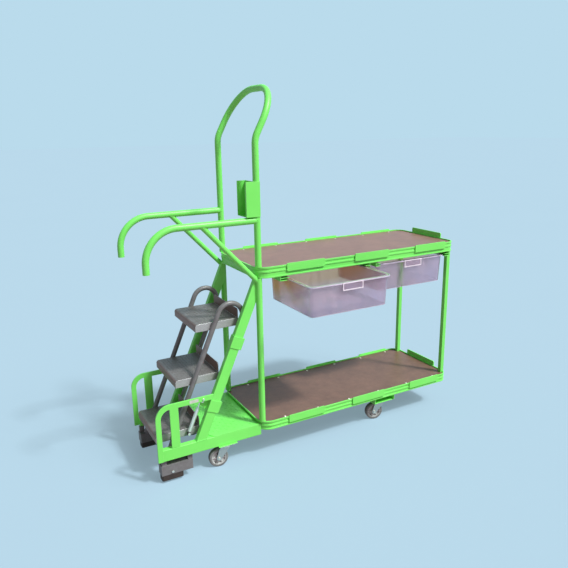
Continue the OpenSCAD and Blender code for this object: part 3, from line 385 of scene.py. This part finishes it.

# %% [markdown]
# The trays are injection-moulded polycarbonate, 3 mm thick and clear with a faint pink cast. Clear
# plastic is a transmission shader with its true index of 1.585. Years of handling leave it a
# little milky, so a part of the light scatters. The walls at its back are painted warm, a painted
# reflection of the brown shelf above. Light runs along the sheet and leaves at its edges, so the
# edges are painted paler and less clear: a painted highlight.

# %% Clear polycarbonate


def clear_polycarbonate(name, front_tint, shelf_reflection_tint, edge, clearness, edge_clearness):
    """Clear plastic, a little milky, with a painted highlight along its edges and a painted
    reflection of the shelf.
    """
    material, tree, shader, coords = new_finish(name, 0.1, ior=1.585)
    stretched = add_node(tree, "ShaderNodeMapping", {"Scale": (1.0, 1.0, 0.35)},
                         [("Vector", coords)])
    cloud = add_node(tree, "ShaderNodeTexNoise",
                     {"Scale": per_mm(30.0), "Detail": 8.0, "Roughness": 0.8},
                     [("Vector", stretched.outputs["Vector"])])
    rough = add_node(tree, "ShaderNodeMapRange", {"To Min": 0.02, "To Max": 0.16},
                     [("Value", cloud.outputs["Fac"])])
    # The warm back tint is a painted reflection of the brown shelf above.
    across = tree.nodes.new("ShaderNodeTexCoord").outputs["Generated"]
    place = add_node(tree, "ShaderNodeSeparateXYZ", {}, [("Vector", across)])
    raised = add_node(tree, "ShaderNodeMath", {"operation": "ADD", 1: 0.35},
                      [(0, place.outputs["Z"])])
    shelf_reflection_mask = add_node(tree, "ShaderNodeMath", {"operation": "MULTIPLY"},
                          [(0, place.outputs["Y"]), (1, raised.outputs["Value"])])
    shelf_reflection_share = add_node(tree, "ShaderNodeMapRange", {"From Min": 0.12, "From Max": 0.7},
                        [("Value", shelf_reflection_mask.outputs["Value"])])
    tint = add_node(tree, "ShaderNodeMix",
                    {"data_type": "RGBA", 6: paint(front_tint), 7: paint(shelf_reflection_tint)},
                    [(0, shelf_reflection_share.outputs["Result"])])
    # The edges are painted paler and less clear: a painted highlight.
    _, _, rim = find_edges(tree, radius_mm=1.3, samples=6, start=0.99, full=0.8)
    base = add_node(tree, "ShaderNodeMix", {"data_type": "RGBA", 7: paint(edge)},
                    [(0, rim), (6, tint.outputs[2])])
    milk = add_node(tree, "ShaderNodeMapRange",
                    {"From Min": 0.35, "From Max": 0.68,
                     "To Min": clearness, "To Max": clearness - 0.2},
                    [("Value", cloud.outputs["Fac"])])
    passing = add_node(tree, "ShaderNodeMix", {"data_type": "FLOAT", 3: edge_clearness},
                       [(0, rim), (2, milk.outputs["Result"])])
    wire(tree, shader, {"Base Color": base.outputs[2], "Roughness": rough.outputs["Result"],
                        "Transmission Weight": passing.outputs[0]})
    return material


# The paler last colour and the edge clearness paint the highlight along the edges.
CLEAR_TRAY = clear_polycarbonate("clear_polycarbonate", "#F1DFEC", "#EDC09E", "#FDF4FC", 0.98, 0.45)
EDGE_HIGHLIGHT_PLASTIC = clear_polycarbonate("polycarbonate_edge_highlight", "#FBF4FF", "#FBEFF8", "#FFFBFF", 0.2, 0.15)
print("made", CLEAR_TRAY.name, "and", EDGE_HIGHLIGHT_PLASTIC.name)

# %% [markdown]
# Now each solid from the frame gets its finish. A short table says which finish belongs to which
# nodes; what isn't named there is part of the green frame.

# %% Dress the solids
FINISH_OF = {
    "deck_board": SHADED_DECK_FILM, "shelf_board": SHELF_FILM,
    "ladder_side_near": GREY_COAT, "ladder_side_far": GREY_COAT, "foot_brackets": GREY_COAT,
    "tread_top": TREAD_SHEET, "tread_middle": TREAD_SHEET, "tread_bottom": TREAD_SHEET,
    "rubber_feet": FOOT_RUBBER, "gas_rod": CHROME, "gas_cylinder": SILVER_LACQUER,
    "frame_fasteners": ZINC, "ladder_fasteners": ZINC, "caster_heads": ZINC,
    "tray_left": CLEAR_TRAY, "tray_right": CLEAR_TRAY,
}
BY_START = {"fork_": DULL_ZINC, "axle_": ZINC, "hub_": WHEEL_PLASTIC, "tyre_": TYRE_RUBBER}


def finish_for(name):
    """The finish of a node: by how its name starts, by its whole name, or the frame's green."""
    for start, material in BY_START.items():
        if name.startswith(start):
            return material
    return FINISH_OF.get(name, GREEN_COAT)


for node_name, solid in frame["nodes"].items():
    solid.data.materials.clear()
    solid.data.materials.append(finish_for(node_name))
print("dressed", len(frame["nodes"]), "solids")

# %% [markdown]
# New pieces are written as lists of points and faces. One helper turns such a list into an
# object, gives it its finish and lets it ride on the body that carries it.

# %% Mesh helper


def add_piece(name, points, faces, material, body, smooth=True):
    """Makes a mesh object of points in metres that moves with a body of the frame."""
    mesh = bpy.data.meshes.new(name)
    mesh.from_pydata([tuple(p) for p in points], [], faces)
    mesh.materials.append(material)
    mesh.validate()
    for polygon in mesh.polygons:
        polygon.use_smooth = smooth
    piece = bpy.data.objects.new(name, mesh)
    bpy.context.scene.collection.objects.link(piece)
    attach(piece, body)
    print(name, "has", len(mesh.vertices), "points and", len(mesh.polygons), "faces")
    return piece


def join_parts(parts):
    """Joins several (points, faces) pairs into one."""
    points, faces = [], []
    for part_points, part_faces in parts:
        start = len(points)
        points += part_points
        faces += [[i + start for i in face] for face in part_faces]
    return points, faces


triangle = ([(0, 0, 0), (1, 0, 0), (0, 1, 0)], [[0, 1, 2]])
print("two joined triangles have", len(join_parts([triangle, triangle])[0]), "points")

# %% [markdown]
# The floor of the ladder's base is chequer plate. Its raised bars are real metal, 0.9 mm high, and
# they catch the light one by one, so they are made as geometry: each is a low lens-shaped loaf,
# and neighbours lie across each other. The same helper makes the smaller studs on the treads.

# %% Raised bars


def stacked_rings(levels, sides):
    """Faces between rings of points that lie one over another, with the two ends closed."""
    faces = []
    for level in range(levels - 1):
        here, above = level * sides, (level + 1) * sides
        for i in range(sides):
            j = (i + 1) % sides
            faces.append([here + i, here + j, above + j, above + i])
    faces.append([(levels - 1) * sides + i for i in range(sides)])
    faces.append(list(reversed(range(sides))))
    return faces


def raised_bar(centre, length, width, height, angle, sides=10):
    """A low loaf with a pointed oval outline: a sunk foot ring, a shoulder ring and a flat top."""
    rings = []
    for scale, lift in ((1.0, -0.2 * MM), (0.9, 0.45 * height), (0.62, height)):
        ring = []
        for i in range(sides):
            t = 2 * math.pi * i / sides
            x = math.cos(t) * length / 2 * scale
            y = math.sin(t) * width / 2 * scale * (1 - 0.35 * abs(math.cos(t)))
            ring.append(Vector((
                centre[0] + x * math.cos(angle) - y * math.sin(angle),
                centre[1] + x * math.sin(angle) + y * math.cos(angle),
                centre[2] + lift,
            )))
        rings.append(ring)
    return [p for ring in rings for p in ring], stacked_rings(len(rings), sides)


def bar_field(low, high, top, pitch, length, width, height, inside):
    """Bars on a square grid, each turned across its neighbours, where inside(x, y) allows."""
    across = int((high[0] - low[0]) / pitch)
    along = int((high[1] - low[1]) / pitch)
    parts = []
    for i in range(across + 1):
        for j in range(along + 1):
            x = (low[0] + high[0] - across * pitch) / 2 + i * pitch
            y = (low[1] + high[1] - along * pitch) / 2 + j * pitch
            if inside(x, y):
                turn = math.pi / 4 if (i + j) % 2 else -math.pi / 4
                parts.append(raised_bar((x, y, top), length, width, height, turn))
    return join_parts(parts)


FRONT_MARGIN = 16 * MM
SIDE_MARGIN = 14 * MM
BACK_MARGIN = 24 * MM
CORNER_CUT = 60 * MM
plate_low, plate_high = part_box("floor_plate")


def on_plate(x, y):
    """True well inside the plate, whose two front corners are cut off."""
    from_front = x - plate_low.x
    from_side = min(y - plate_low.y, plate_high.y - y)
    return (from_front > FRONT_MARGIN and from_side > SIDE_MARGIN
            and from_front + from_side > CORNER_CUT and plate_high.x - x > BACK_MARGIN)


points, faces = bar_field(plate_low, plate_high, plate_high.z, pitch=22 * MM, length=18 * MM,
                          width=5.5 * MM, height=0.9 * MM, inside=on_plate)
add_piece("chequer_bars", points, faces, GREEN_COAT, "frame")

# %% [markdown]
# Each tread has rows of small pressed studs that grip a shoe. They are made like the floor's bars,
# but only 0.4 mm high, so that they read as texture from here. They stop short of the round nosing,
# of the sides and of the upstand behind.

# %% Tread studs
LEVELS = ("top", "middle", "bottom")
NOSE = 16 * MM
MARGIN = 12 * MM
UPSTAND = 48 * MM
for level in LEVELS:
    low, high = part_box("tread_" + level)

    def on_tread(x, y, low=low, high=high):
        """True on the flat of this tread."""
        return low.x + NOSE < x < high.x - MARGIN and low.y + MARGIN < y < high.y - MARGIN

    points, faces = bar_field(low, high, high.z - UPSTAND, pitch=15 * MM, length=11 * MM,
                              width=4.5 * MM, height=0.4 * MM, inside=on_tread)
    add_piece("tread_studs_" + level, points, faces, TREAD_STUDS, "ladder")

# %% [markdown]
# Where two tubes meet, the real frame has a weld bead under the paint: a rounded cord of metal with
# a ripple every few millimetres. The bead follows the curve where the surfaces cross. For a tube
# that meets another tube, each point of that curve is the end of a line along the first tube's
# wall, and a quadratic equation says where that line reaches the second tube's surface.

# %% Weld beads
RIPPLE_EVERY = 3 * MM


def bead(path, radius, closed=True, sides=6, ripple=0.16):
    """A cord round a list of points; ripple is the share of its radius that swells and sinks."""
    count = len(path)
    run = 0.0
    points, faces = [], []
    for i, here in enumerate(path):
        before = path[i - 1] if closed or i else here
        after = path[(i + 1) % count] if closed or i < count - 1 else here
        along = (after - before).normalized()
        side = along.cross(Vector((0, 0, 1)))
        if side.length < 0.2:
            side = along.cross(Vector((1, 0, 0)))
        side.normalize()
        up = side.cross(along)
        run += (here - before).length
        r = radius * (1 + ripple * math.sin(2 * math.pi * run / RIPPLE_EVERY))
        for k in range(sides):
            t = 2 * math.pi * k / sides
            points.append(here + side * (r * math.cos(t)) + up * (r * math.sin(t)))
    for i in range(count if closed else count - 1):
        j = (i + 1) % count
        for k in range(sides):
            m = (k + 1) % sides
            faces.append([i * sides + k, i * sides + m, j * sides + m, j * sides + k])
    if not closed:
        faces.append(list(range(sides)))
        faces.append([(count - 1) * sides + k for k in reversed(range(sides))])
    return points, faces


def wall_line(direction, radius, t):
    """A point on a tube's wall at angle t, seen from its axis."""
    first = direction.cross(Vector((0, 1, 0)))
    if first.length < 0.1:
        first = direction.cross(Vector((1, 0, 0)))
    first.normalize()
    second = direction.cross(first)
    return first * (radius * math.cos(t)) + second * (radius * math.sin(t))


def saddle(crossing, direction, radius, other, other_radius, count=72):
    """The curve where a tube ends on another tube; both axes pass through the crossing."""
    path = []
    for i in range(count):
        q = wall_line(direction, radius, 2 * math.pi * i / count)
        w = direction.cross(other)
        u = q.cross(other)
        a, b, c = w.dot(w), 2 * u.dot(w), u.dot(u) - other_radius ** 2
        t = (-b + math.sqrt(max(b * b - 4 * a * c, 0.0))) / (2 * a)
        path.append(Vector(crossing) + q + direction * t)
    return path


def tube_on_plane(crossing, direction, radius, count=48):
    """The curve where a sloping tube stands on a level face."""
    path = []
    for i in range(count):
        q = wall_line(direction, radius, 2 * math.pi * i / count)
        path.append(Vector(crossing) + q - direction * (q.z / direction.z))
    return path


def straight(start, end, count=16):
    """Points along a straight line."""
    return [Vector(start).lerp(Vector(end), i / (count - 1)) for i in range(count)]


TUBE_R = 16 * MM
BRACE_R = 12.5 * MM
TUBE_BEAD = 1.8 * MM
UPRIGHT = Vector((0, 0, 1))
HANDRAIL = Vector((1, 0, 0))
rail_low, rail_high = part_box("handrail_far")
UPRIGHT_Y = (rail_low.y + rail_high.y) / 2
ARM_Z = rail_high.z - TUBE_R
ARM_END = Vector((0, 0, ARM_Z))
BRACE_FOOT = Vector((0, 0, 942 * MM))
BRACE_TOP = Vector((-283 * MM, 0, ARM_Z))
brace_line = (BRACE_TOP - BRACE_FOOT).normalized()
parts = []
for s in (-1, 1):
    side_shift = Vector((0, s * UPRIGHT_Y, 0))
    for crossing, direction, radius, other in (
            (ARM_END, Vector((-1, 0, 0)), TUBE_R, UPRIGHT),
            (BRACE_FOOT, brace_line, BRACE_R, UPRIGHT),
            (BRACE_TOP, -brace_line, BRACE_R, HANDRAIL)):
        path = saddle(crossing + side_shift, direction, radius, other, TUBE_R)
        parts.append(bead(path, TUBE_BEAD))
print("made", len(parts), "beads round the ends of the tubes")

# %% [markdown]
# The stringers stand on the base rails with a bead round their feet. The same parts list takes it,
# and all the frame's beads become one piece in the frame's green.

# %% Stringer feet
SLOPE = math.radians(66.15)
STRINGER_DEPTH = 50 * MM
STRINGER_BEAD = 1.7 * MM
RAIL_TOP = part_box("base_rail_near")[1].z
for name in ("stringer_near", "stringer_far"):
    low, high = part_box(name)
    front = low.x
    back = front + STRINGER_DEPTH / math.sin(SLOPE)
    corners = [(front, low.y), (back, low.y), (back, high.y), (front, high.y), (front, low.y)]
    for (x0, y0), (x1, y1) in zip(corners, corners[1:]):
        edge = straight((x0, y0, RAIL_TOP), (x1, y1, RAIL_TOP))
        parts.append(bead(edge, STRINGER_BEAD, closed=False))
points, faces = join_parts(parts)
add_piece("frame_weld_beads", points, faces, GREEN_COAT, "frame")

# %% [markdown]
# On the ladder, short beads run up both sides of each leg where a tread's flange touches it, from
# 34 to 4 mm below the tread's face, and a ring goes round each front leg where it stands on its foot
# bracket. They are worked out from the ladder's slope, so they follow the legs.

# %% Ladder welds
LEG_R = 12.5 * MM
FOOT_BEAD = 1.6 * MM
FLANGE_BEAD = 1.5 * MM
BESIDE_LEG = 5 * MM
BEAD_STARTS = 34 * MM
BEAD_ENDS = 4 * MM
leg_line = Vector((math.cos(SLOPE), 0, math.sin(SLOPE)))
side_low, side_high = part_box("ladder_side_far")
LEG_Y = (side_low.y + side_high.y) / 2
MIDDLE_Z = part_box("tread_middle")[1].z - UPSTAND
FRONT_LEG = -332 * MM
REAR_LEG = -187 * MM
FOOT_TOP = 94 * MM


def leg_point(at_middle, z):
    """How far along x a leg's axis is at height z, from its place at the middle tread."""
    return at_middle + (z - MIDDLE_Z) / math.tan(SLOPE)


parts = []
for s in (-1, 1):
    foot = Vector((leg_point(FRONT_LEG, FOOT_TOP), s * LEG_Y, FOOT_TOP))
    parts.append(bead(tube_on_plane(foot, leg_line, LEG_R), FOOT_BEAD))
    flange_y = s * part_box("tread_top")[1].y
    for level in LEVELS:
        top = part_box("tread_" + level)[1].z - UPSTAND
        for leg in (FRONT_LEG, REAR_LEG):
            for shift in (-BESIDE_LEG, BESIDE_LEG):
                ends = [(leg_point(leg, top - drop) + shift, flange_y, top - drop)
                        for drop in (BEAD_STARTS, BEAD_ENDS)]
                parts.append(bead(straight(*ends), FLANGE_BEAD, closed=False))
points, faces = join_parts(parts)
add_piece("ladder_weld_beads", points, faces, GREY_COAT, "ladder")

# %% [markdown]
# The boards are held by countersunk screws. The solid model has their flat heads; what the eye
# looks for is the drive, so each head gets a shallow dome with a hexagon socket. A dome is a turned
# form, so its profile is a list of radii and heights that a helper spins round an axis.

# %% Screw domes


def turned(centre, profile, sides=20, hexagon_from=None):
    """A turned form about a vertical axis; rings from hexagon_from on have six flat sides."""
    points = []
    for level, (radius, z) in enumerate(profile):
        for i in range(sides):
            t = 2 * math.pi * i / sides
            r = radius
            if hexagon_from is not None and level >= hexagon_from:
                r = radius * math.cos(math.pi / 6) / math.cos((t % (math.pi / 3)) - math.pi / 6)
            points.append(Vector((centre[0] + r * math.cos(t), centre[1] + r * math.sin(t),
                                  centre[2] + z)))
    return points, stacked_rings(len(profile), sides)


DOME = [(5.9 * MM, -0.1 * MM), (5.7 * MM, 0.5 * MM), (4.6 * MM, 1.1 * MM), (3.0 * MM, 1.4 * MM),
        (2.6 * MM, 1.4 * MM), (2.5 * MM, 0.2 * MM)]
deck_low, deck_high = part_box("deck_rim")
SCREW_FIRST = deck_low.x + 150 * MM
SCREW_LAST = deck_high.x - 104 * MM
SCREW_ROWS = 6
SCREW_Y = deck_high.y - 22 * MM
parts = []
for board in ("deck_board", "shelf_board"):
    board_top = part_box(board)[1].z
    for i in range(SCREW_ROWS):
        x = SCREW_FIRST + (SCREW_LAST - SCREW_FIRST) * i / (SCREW_ROWS - 1)
        for s in (-1, 1):
            parts.append(turned((x, s * SCREW_Y, board_top), DOME, hexagon_from=4))
points, faces = join_parts(parts)
add_piece("screw_domes", points, faces, ZINC, "frame")

# %% [markdown]
# Four bolts hold each caster's plate. Their hexagon heads sit below the plate, with a washer each.
# A cylinder would do for the washer, but a head needs six flats, and the turned form has both.

# %% Caster bolts
BOLT_X = 33 * MM
BOLT_Y = 24 * MM
CASTER_PLATE = 4 * MM
plate_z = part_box("caster_heads")[1].z - CASTER_PLATE
WASHER = [(7.5 * MM, 0.0), (7.5 * MM, -1.2 * MM), (6.6 * MM, -1.4 * MM)]
HEAD = [(6.4 * MM, -1.4 * MM), (6.4 * MM, -5.6 * MM), (5.2 * MM, -6.4 * MM)]
parts = []
for joint in frame["joints"]:
    if joint["name"].startswith("swivel_"):
        x, y, _ = joint["pos_m"]
        for dx in (-BOLT_X, BOLT_X):
            for dy in (-BOLT_Y, BOLT_Y):
                parts.append(turned((x + dx, y + dy, plate_z), WASHER))
                parts.append(turned((x + dx, y + dy, plate_z), HEAD, sides=24, hexagon_from=0))
points, faces = join_parts(parts)
add_piece("caster_bolts", points, faces, ZINC, "frame", smooth=False)

# %% [markdown]
# The front of each tray has a pocket for a paper label: a raised border, moulded with the tray.
# Where the sheet turns, along the rim, the lip, the mouth and the bottom, light gathers and
# leaves, so a thin bead of paler plastic lies in each of those edges, flush with the faces: a
# painted highlight. A table gives each bead's inset, corner radius, height and thickness, all from
# the tray's own box.

# %% Label pockets and rim beads
POCKET_W = 118 * MM
POCKET_H = 38 * MM
POCKET_DROP = 1 * MM
BORDER = 4 * MM
BORDER_THICK = 1.7 * MM
BORDER_PROUD = 1.6 * MM
FLANGE = 12 * MM
TAPER = 6 * MM
LIP = 6 * MM
BODY_R = 22 * MM


def border(centre_x, front_y, top_z, width, height, edge, thick):
    """A flat frame that faces -Y: outer and inner rectangles joined on four sides."""
    points, faces = [], []
    for y in (front_y, front_y + thick):
        for shrink in (0.0, edge):
            for sx, sz in ((-1, -1), (1, -1), (1, 1), (-1, 1)):
                x = centre_x + sx * (width / 2 - shrink)
                z = top_z - height / 2 + sz * (height / 2 - shrink)
                points.append(Vector((x, y, z)))
    for i in range(4):
        j = (i + 1) % 4
        faces.append([i, j, 4 + j, 4 + i])
        faces.append([8 + j, 8 + i, 12 + i, 12 + j])
        faces.append([j, i, 8 + i, 8 + j])
        faces.append([4 + i, 4 + j, 12 + j, 12 + i])
    return points, faces


def round_loop(low, high, inset, radius, z, corner_steps=8):
    """A level loop with round corners, inset from a box."""
    path = []
    for cx, cy, start in ((1, 1, 0), (-1, 1, 90), (-1, -1, 180), (1, -1, 270)):
        x = (high.x if cx > 0 else low.x) - cx * (inset + radius)
        y = (high.y if cy > 0 else low.y) - cy * (inset + radius)
        for k in range(corner_steps + 1):
            t = math.radians(start + 90 * k / corner_steps)
            path.append(Vector((x + radius * math.cos(t), y + radius * math.sin(t), z)))
    return path


for tray, body in (("tray_left", "tray_1"), ("tray_right", "tray_2")):
    low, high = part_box(tray)
    middle = (low.x + high.x) / 2
    points, faces = border(middle, low.y - BORDER_PROUD, high.z - POCKET_DROP, POCKET_W, POCKET_H,
                           BORDER, BORDER_THICK)
    # The border is drawn in the same paler plastic, a painted highlight.
    add_piece(tray + "_pocket", points, faces, EDGE_HIGHLIGHT_PLASTIC, body, smooth=False)
    rim_r = BODY_R + FLANGE
    edges = {
        "lip": (1.3 * MM, rim_r, high.z - LIP + 1.3 * MM, 1.4 * MM),
        "rim": (1.8 * MM, rim_r, high.z - 1.8 * MM, 1.9 * MM),
        "mouth": (FLANGE + 1.8 * MM, BODY_R, high.z - 1.8 * MM, 1.9 * MM),
        "bottom": (FLANGE + TAPER + 1.2 * MM, BODY_R, low.z + 1.2 * MM, 1.3 * MM),
    }
    points, faces = join_parts([
        bead(round_loop(low, high, inset, corner_r, z), thick, ripple=0, sides=8)
        for inset, corner_r, z, thick in edges.values()])
    add_piece(tray + "_beads", points, faces, EDGE_HIGHLIGHT_PLASTIC, body)

# %% [markdown]
# The gas spring pivots on black rubber bushes, one at each eye. A bush is round about its pin, so it
# is a turned form again, laid on its side.

# %% Spring bushes
SPRING_Y = -173 * MM
LOW_EYE_Z = 216 * MM
EYE_RISE = 164 * MM
LOW_EYE = Vector((-384 * MM, SPRING_Y, LOW_EYE_Z))
HIGH_EYE = Vector((LOW_EYE.x + EYE_RISE / math.tan(SLOPE), SPRING_Y, LOW_EYE_Z + EYE_RISE))
BUSH = [(9.2 * MM, -6.4 * MM), (9.8 * MM, -5.4 * MM), (9.8 * MM, 5.4 * MM), (9.2 * MM, 6.4 * MM)]
for name, eye, body in (("low_bush", LOW_EYE, "ladder"), ("high_bush", HIGH_EYE, "frame")):
    points, faces = turned((0, 0, 0), BUSH, sides=28)
    laid = Matrix.Translation(eye) @ Matrix.Rotation(math.pi / 2, 4, "X")
    points = [laid @ p for p in points]
    add_piece("spring_" + name, points, faces, BUSH_RUBBER, body)

# %% [markdown]
# The near guard carries a small plain label, a pale film with round corners, stuck on its flat
# face. It could be a patch of colour in the paint, but as a thin outline given 0.3 mm of body it
# has an edge that catches light.

# %% Guard label
LABEL_FILM = moulded("pale_label_film", "#CBD9CB", "#AEBDAC", 0.35, 1.0, 0.02)


def rounded_plate(centre, width, height, radius, thick, corner_steps=5):
    """A plate that faces -Y with round corners."""
    outline = []
    for cx, cz, start in ((1, 1, 0), (-1, 1, 90), (-1, -1, 180), (1, -1, 270)):
        for k in range(corner_steps + 1):
            t = math.radians(start + 90 * k / corner_steps)
            outline.append((centre[0] + cx * (width / 2 - radius) + radius * math.cos(t),
                            centre[2] + cz * (height / 2 - radius) + radius * math.sin(t)))
    count = len(outline)
    points = [Vector((x, centre[1], z)) for x, z in outline]
    points += [Vector((x, centre[1] - thick, z)) for x, z in outline]
    faces = [[i, (i + 1) % count, count + (i + 1) % count, count + i] for i in range(count)]
    faces += [list(range(count)), [count + i for i in reversed(range(count))]]
    return points, faces


LABEL_X = -362 * MM
LABEL_DROP = 12.5 * MM
guard_low, guard_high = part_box("guard_near")
points, faces = rounded_plate((LABEL_X, guard_low.y, guard_high.z - LABEL_DROP), width=46 * MM,
                              height=17 * MM, radius=2 * MM, thick=0.3 * MM)
add_piece("guard_label", points, faces, LABEL_FILM, "frame", smooth=False)

# %% [markdown]
# The picture is taken on a pale blue studio floor. Two sun lamps shine from the front right: a
# narrow one draws the shadows, and a wide one stands for a large soft light. They light the floor
# evenly, so the floor's colour meets the backdrop's without a seam. The world fills the shadows
# with plain light, and camera, glossy and transmission rays see the backdrop's colour in it.

# %% Floor, lamps and world
BACKDROP = "#BADBEC"
BACKDROP_SHARE = 0.4
FLOOR_TONES = ("#9CB7C7", "#9EB9C9")
FLOOR_CLOUDS_PER_METRE = 0.6
BOUNCE = "#AC929A"
KEY = 2.9
KEY_DEGREES = 6
SOFT_KEY = 1.9
SOFT_KEY_DEGREES = 34
FILL = 0.26
FILL_COLOUR = "#FFF1EF"


def seen_rays(tree):
    """A socket that is 1 for camera, glossy and transmission rays."""
    rays = add_node(tree, "ShaderNodeLightPath", {})
    direct = add_node(tree, "ShaderNodeMath", {"operation": "MAXIMUM"},
                      [(0, rays.outputs["Is Camera Ray"]), (1, rays.outputs["Is Glossy Ray"])])
    both = add_node(tree, "ShaderNodeMath", {"operation": "MAXIMUM"},
                    [(0, direct.outputs["Value"]), (1, rays.outputs["Is Transmission Ray"])])
    return both.outputs["Value"]


def pale_floor_finish():
    """A matt floor; a share of what is seen of it is the backdrop's colour, for pale shadows."""
    material, tree, shader, coords = new_finish("pale_studio_floor", 0.85)
    cloud = add_node(tree, "ShaderNodeTexNoise", {"Scale": FLOOR_CLOUDS_PER_METRE, "Detail": 2.0},
                     [("Vector", coords)])
    base = add_node(tree, "ShaderNodeMix",
                    {"data_type": "RGBA", 6: paint(FLOOR_TONES[0]), 7: paint(FLOOR_TONES[1])},
                    [(0, cloud.outputs["Fac"])])
    seen = seen_rays(tree)
    bounced = add_node(tree, "ShaderNodeMix", {"data_type": "RGBA", 6: paint(BOUNCE)},
                       [(0, seen), (7, base.outputs[2])])
    tree.links.new(bounced.outputs[2], shader.inputs["Base Color"])
    shader.inputs["Specular IOR Level"].default_value = 0.0
    share = add_node(tree, "ShaderNodeMath", {"operation": "MULTIPLY", 1: BACKDROP_SHARE},
                     [(0, seen)])
    glow = add_node(tree, "ShaderNodeEmission", {"Color": paint(BACKDROP), "Strength": 1.0})
    mixed = add_node(tree, "ShaderNodeMixShader", {},
                     [(0, share.outputs["Value"]), (1, shader.outputs["BSDF"]),
                      (2, glow.outputs["Emission"])])
    tree.links.new(mixed.outputs["Shader"], tree.nodes["Material Output"].inputs["Surface"])
    return material


REACH = 60.0
floor_corners = [(-REACH, -REACH, 0), (REACH, -REACH, 0), (REACH, REACH, 0), (-REACH, REACH, 0)]
floor_mesh = bpy.data.meshes.new("studio_floor")
floor_mesh.from_pydata(floor_corners, [], [(0, 1, 2, 3)])
floor_mesh.materials.append(pale_floor_finish())
floor = bpy.data.objects.new("studio_floor", floor_mesh)
bpy.context.scene.collection.objects.link(floor)

TO_LIGHT = Vector((0.45, -0.62, 1.0))
for lamp_name, strength, width in (("key_light", KEY, KEY_DEGREES),
                                   ("soft_key_light", SOFT_KEY, SOFT_KEY_DEGREES)):
    lamp_data = bpy.data.lights.new(lamp_name, "SUN")
    lamp_data.energy = strength
    lamp_data.angle = math.radians(width)
    lamp = bpy.data.objects.new(lamp_name, lamp_data)
    lamp.rotation_euler = TO_LIGHT.to_track_quat("Z", "Y").to_euler()
    bpy.context.scene.collection.objects.link(lamp)

world = bpy.data.worlds.new("studio_world")
bpy.context.scene.world = world
world.use_nodes = True
sky = world.node_tree
sky.nodes.clear()
fill = add_node(sky, "ShaderNodeBackground", {"Color": paint(FILL_COLOUR), "Strength": FILL})
backdrop = add_node(sky, "ShaderNodeBackground", {"Color": paint(BACKDROP), "Strength": 1.0})
choice = add_node(sky, "ShaderNodeMixShader", {},
                  [(0, seen_rays(sky)), (1, fill.outputs["Background"]),
                   (2, backdrop.outputs["Background"])])
add_node(sky, "ShaderNodeOutputWorld", {}, [("Surface", choice.outputs["Shader"])])
print("key light", KEY, "with", SOFT_KEY, "soft, and fill", FILL)

# %% [markdown]
# The camera stands to the left of the ladder's end, a little above the handrails, and looks 15
# degrees down. Its place and lens were worked out from the trolley's own parallel edges, so the
# picture has the photograph's frame. Its axes are built from the yaw, the pitch and a slight roll.

# %% Camera
CAMERA_AT = (-1.210, -2.692, 1.668)
LENS = 37.15
SENSOR = 36
YAW = math.radians(28.626)
PITCH = math.radians(14.960)
ROLL = math.radians(-0.922)
forward = Vector((math.sin(YAW) * math.cos(PITCH), math.cos(YAW) * math.cos(PITCH),
                  -math.sin(PITCH)))
right = Vector((math.cos(YAW), -math.sin(YAW), 0))
up = right.cross(forward)
tilted_right = right * math.cos(ROLL) + up * math.sin(ROLL)
tilted_up = up * math.cos(ROLL) - right * math.sin(ROLL)
camera_data = bpy.data.cameras.new("camera")
camera_data.sensor_width = SENSOR
camera_data.lens = LENS
camera = bpy.data.objects.new("camera", camera_data)
bpy.context.scene.collection.objects.link(camera)
turn = Matrix((tilted_right, tilted_up, -forward)).transposed()
camera.matrix_world = Matrix.Translation(CAMERA_AT) @ turn.to_4x4()
bpy.context.scene.camera = camera
bpy.context.scene.view_settings.view_transform = "Standard"
print("camera at", CAMERA_AT, "with a lens of", LENS, "mm")
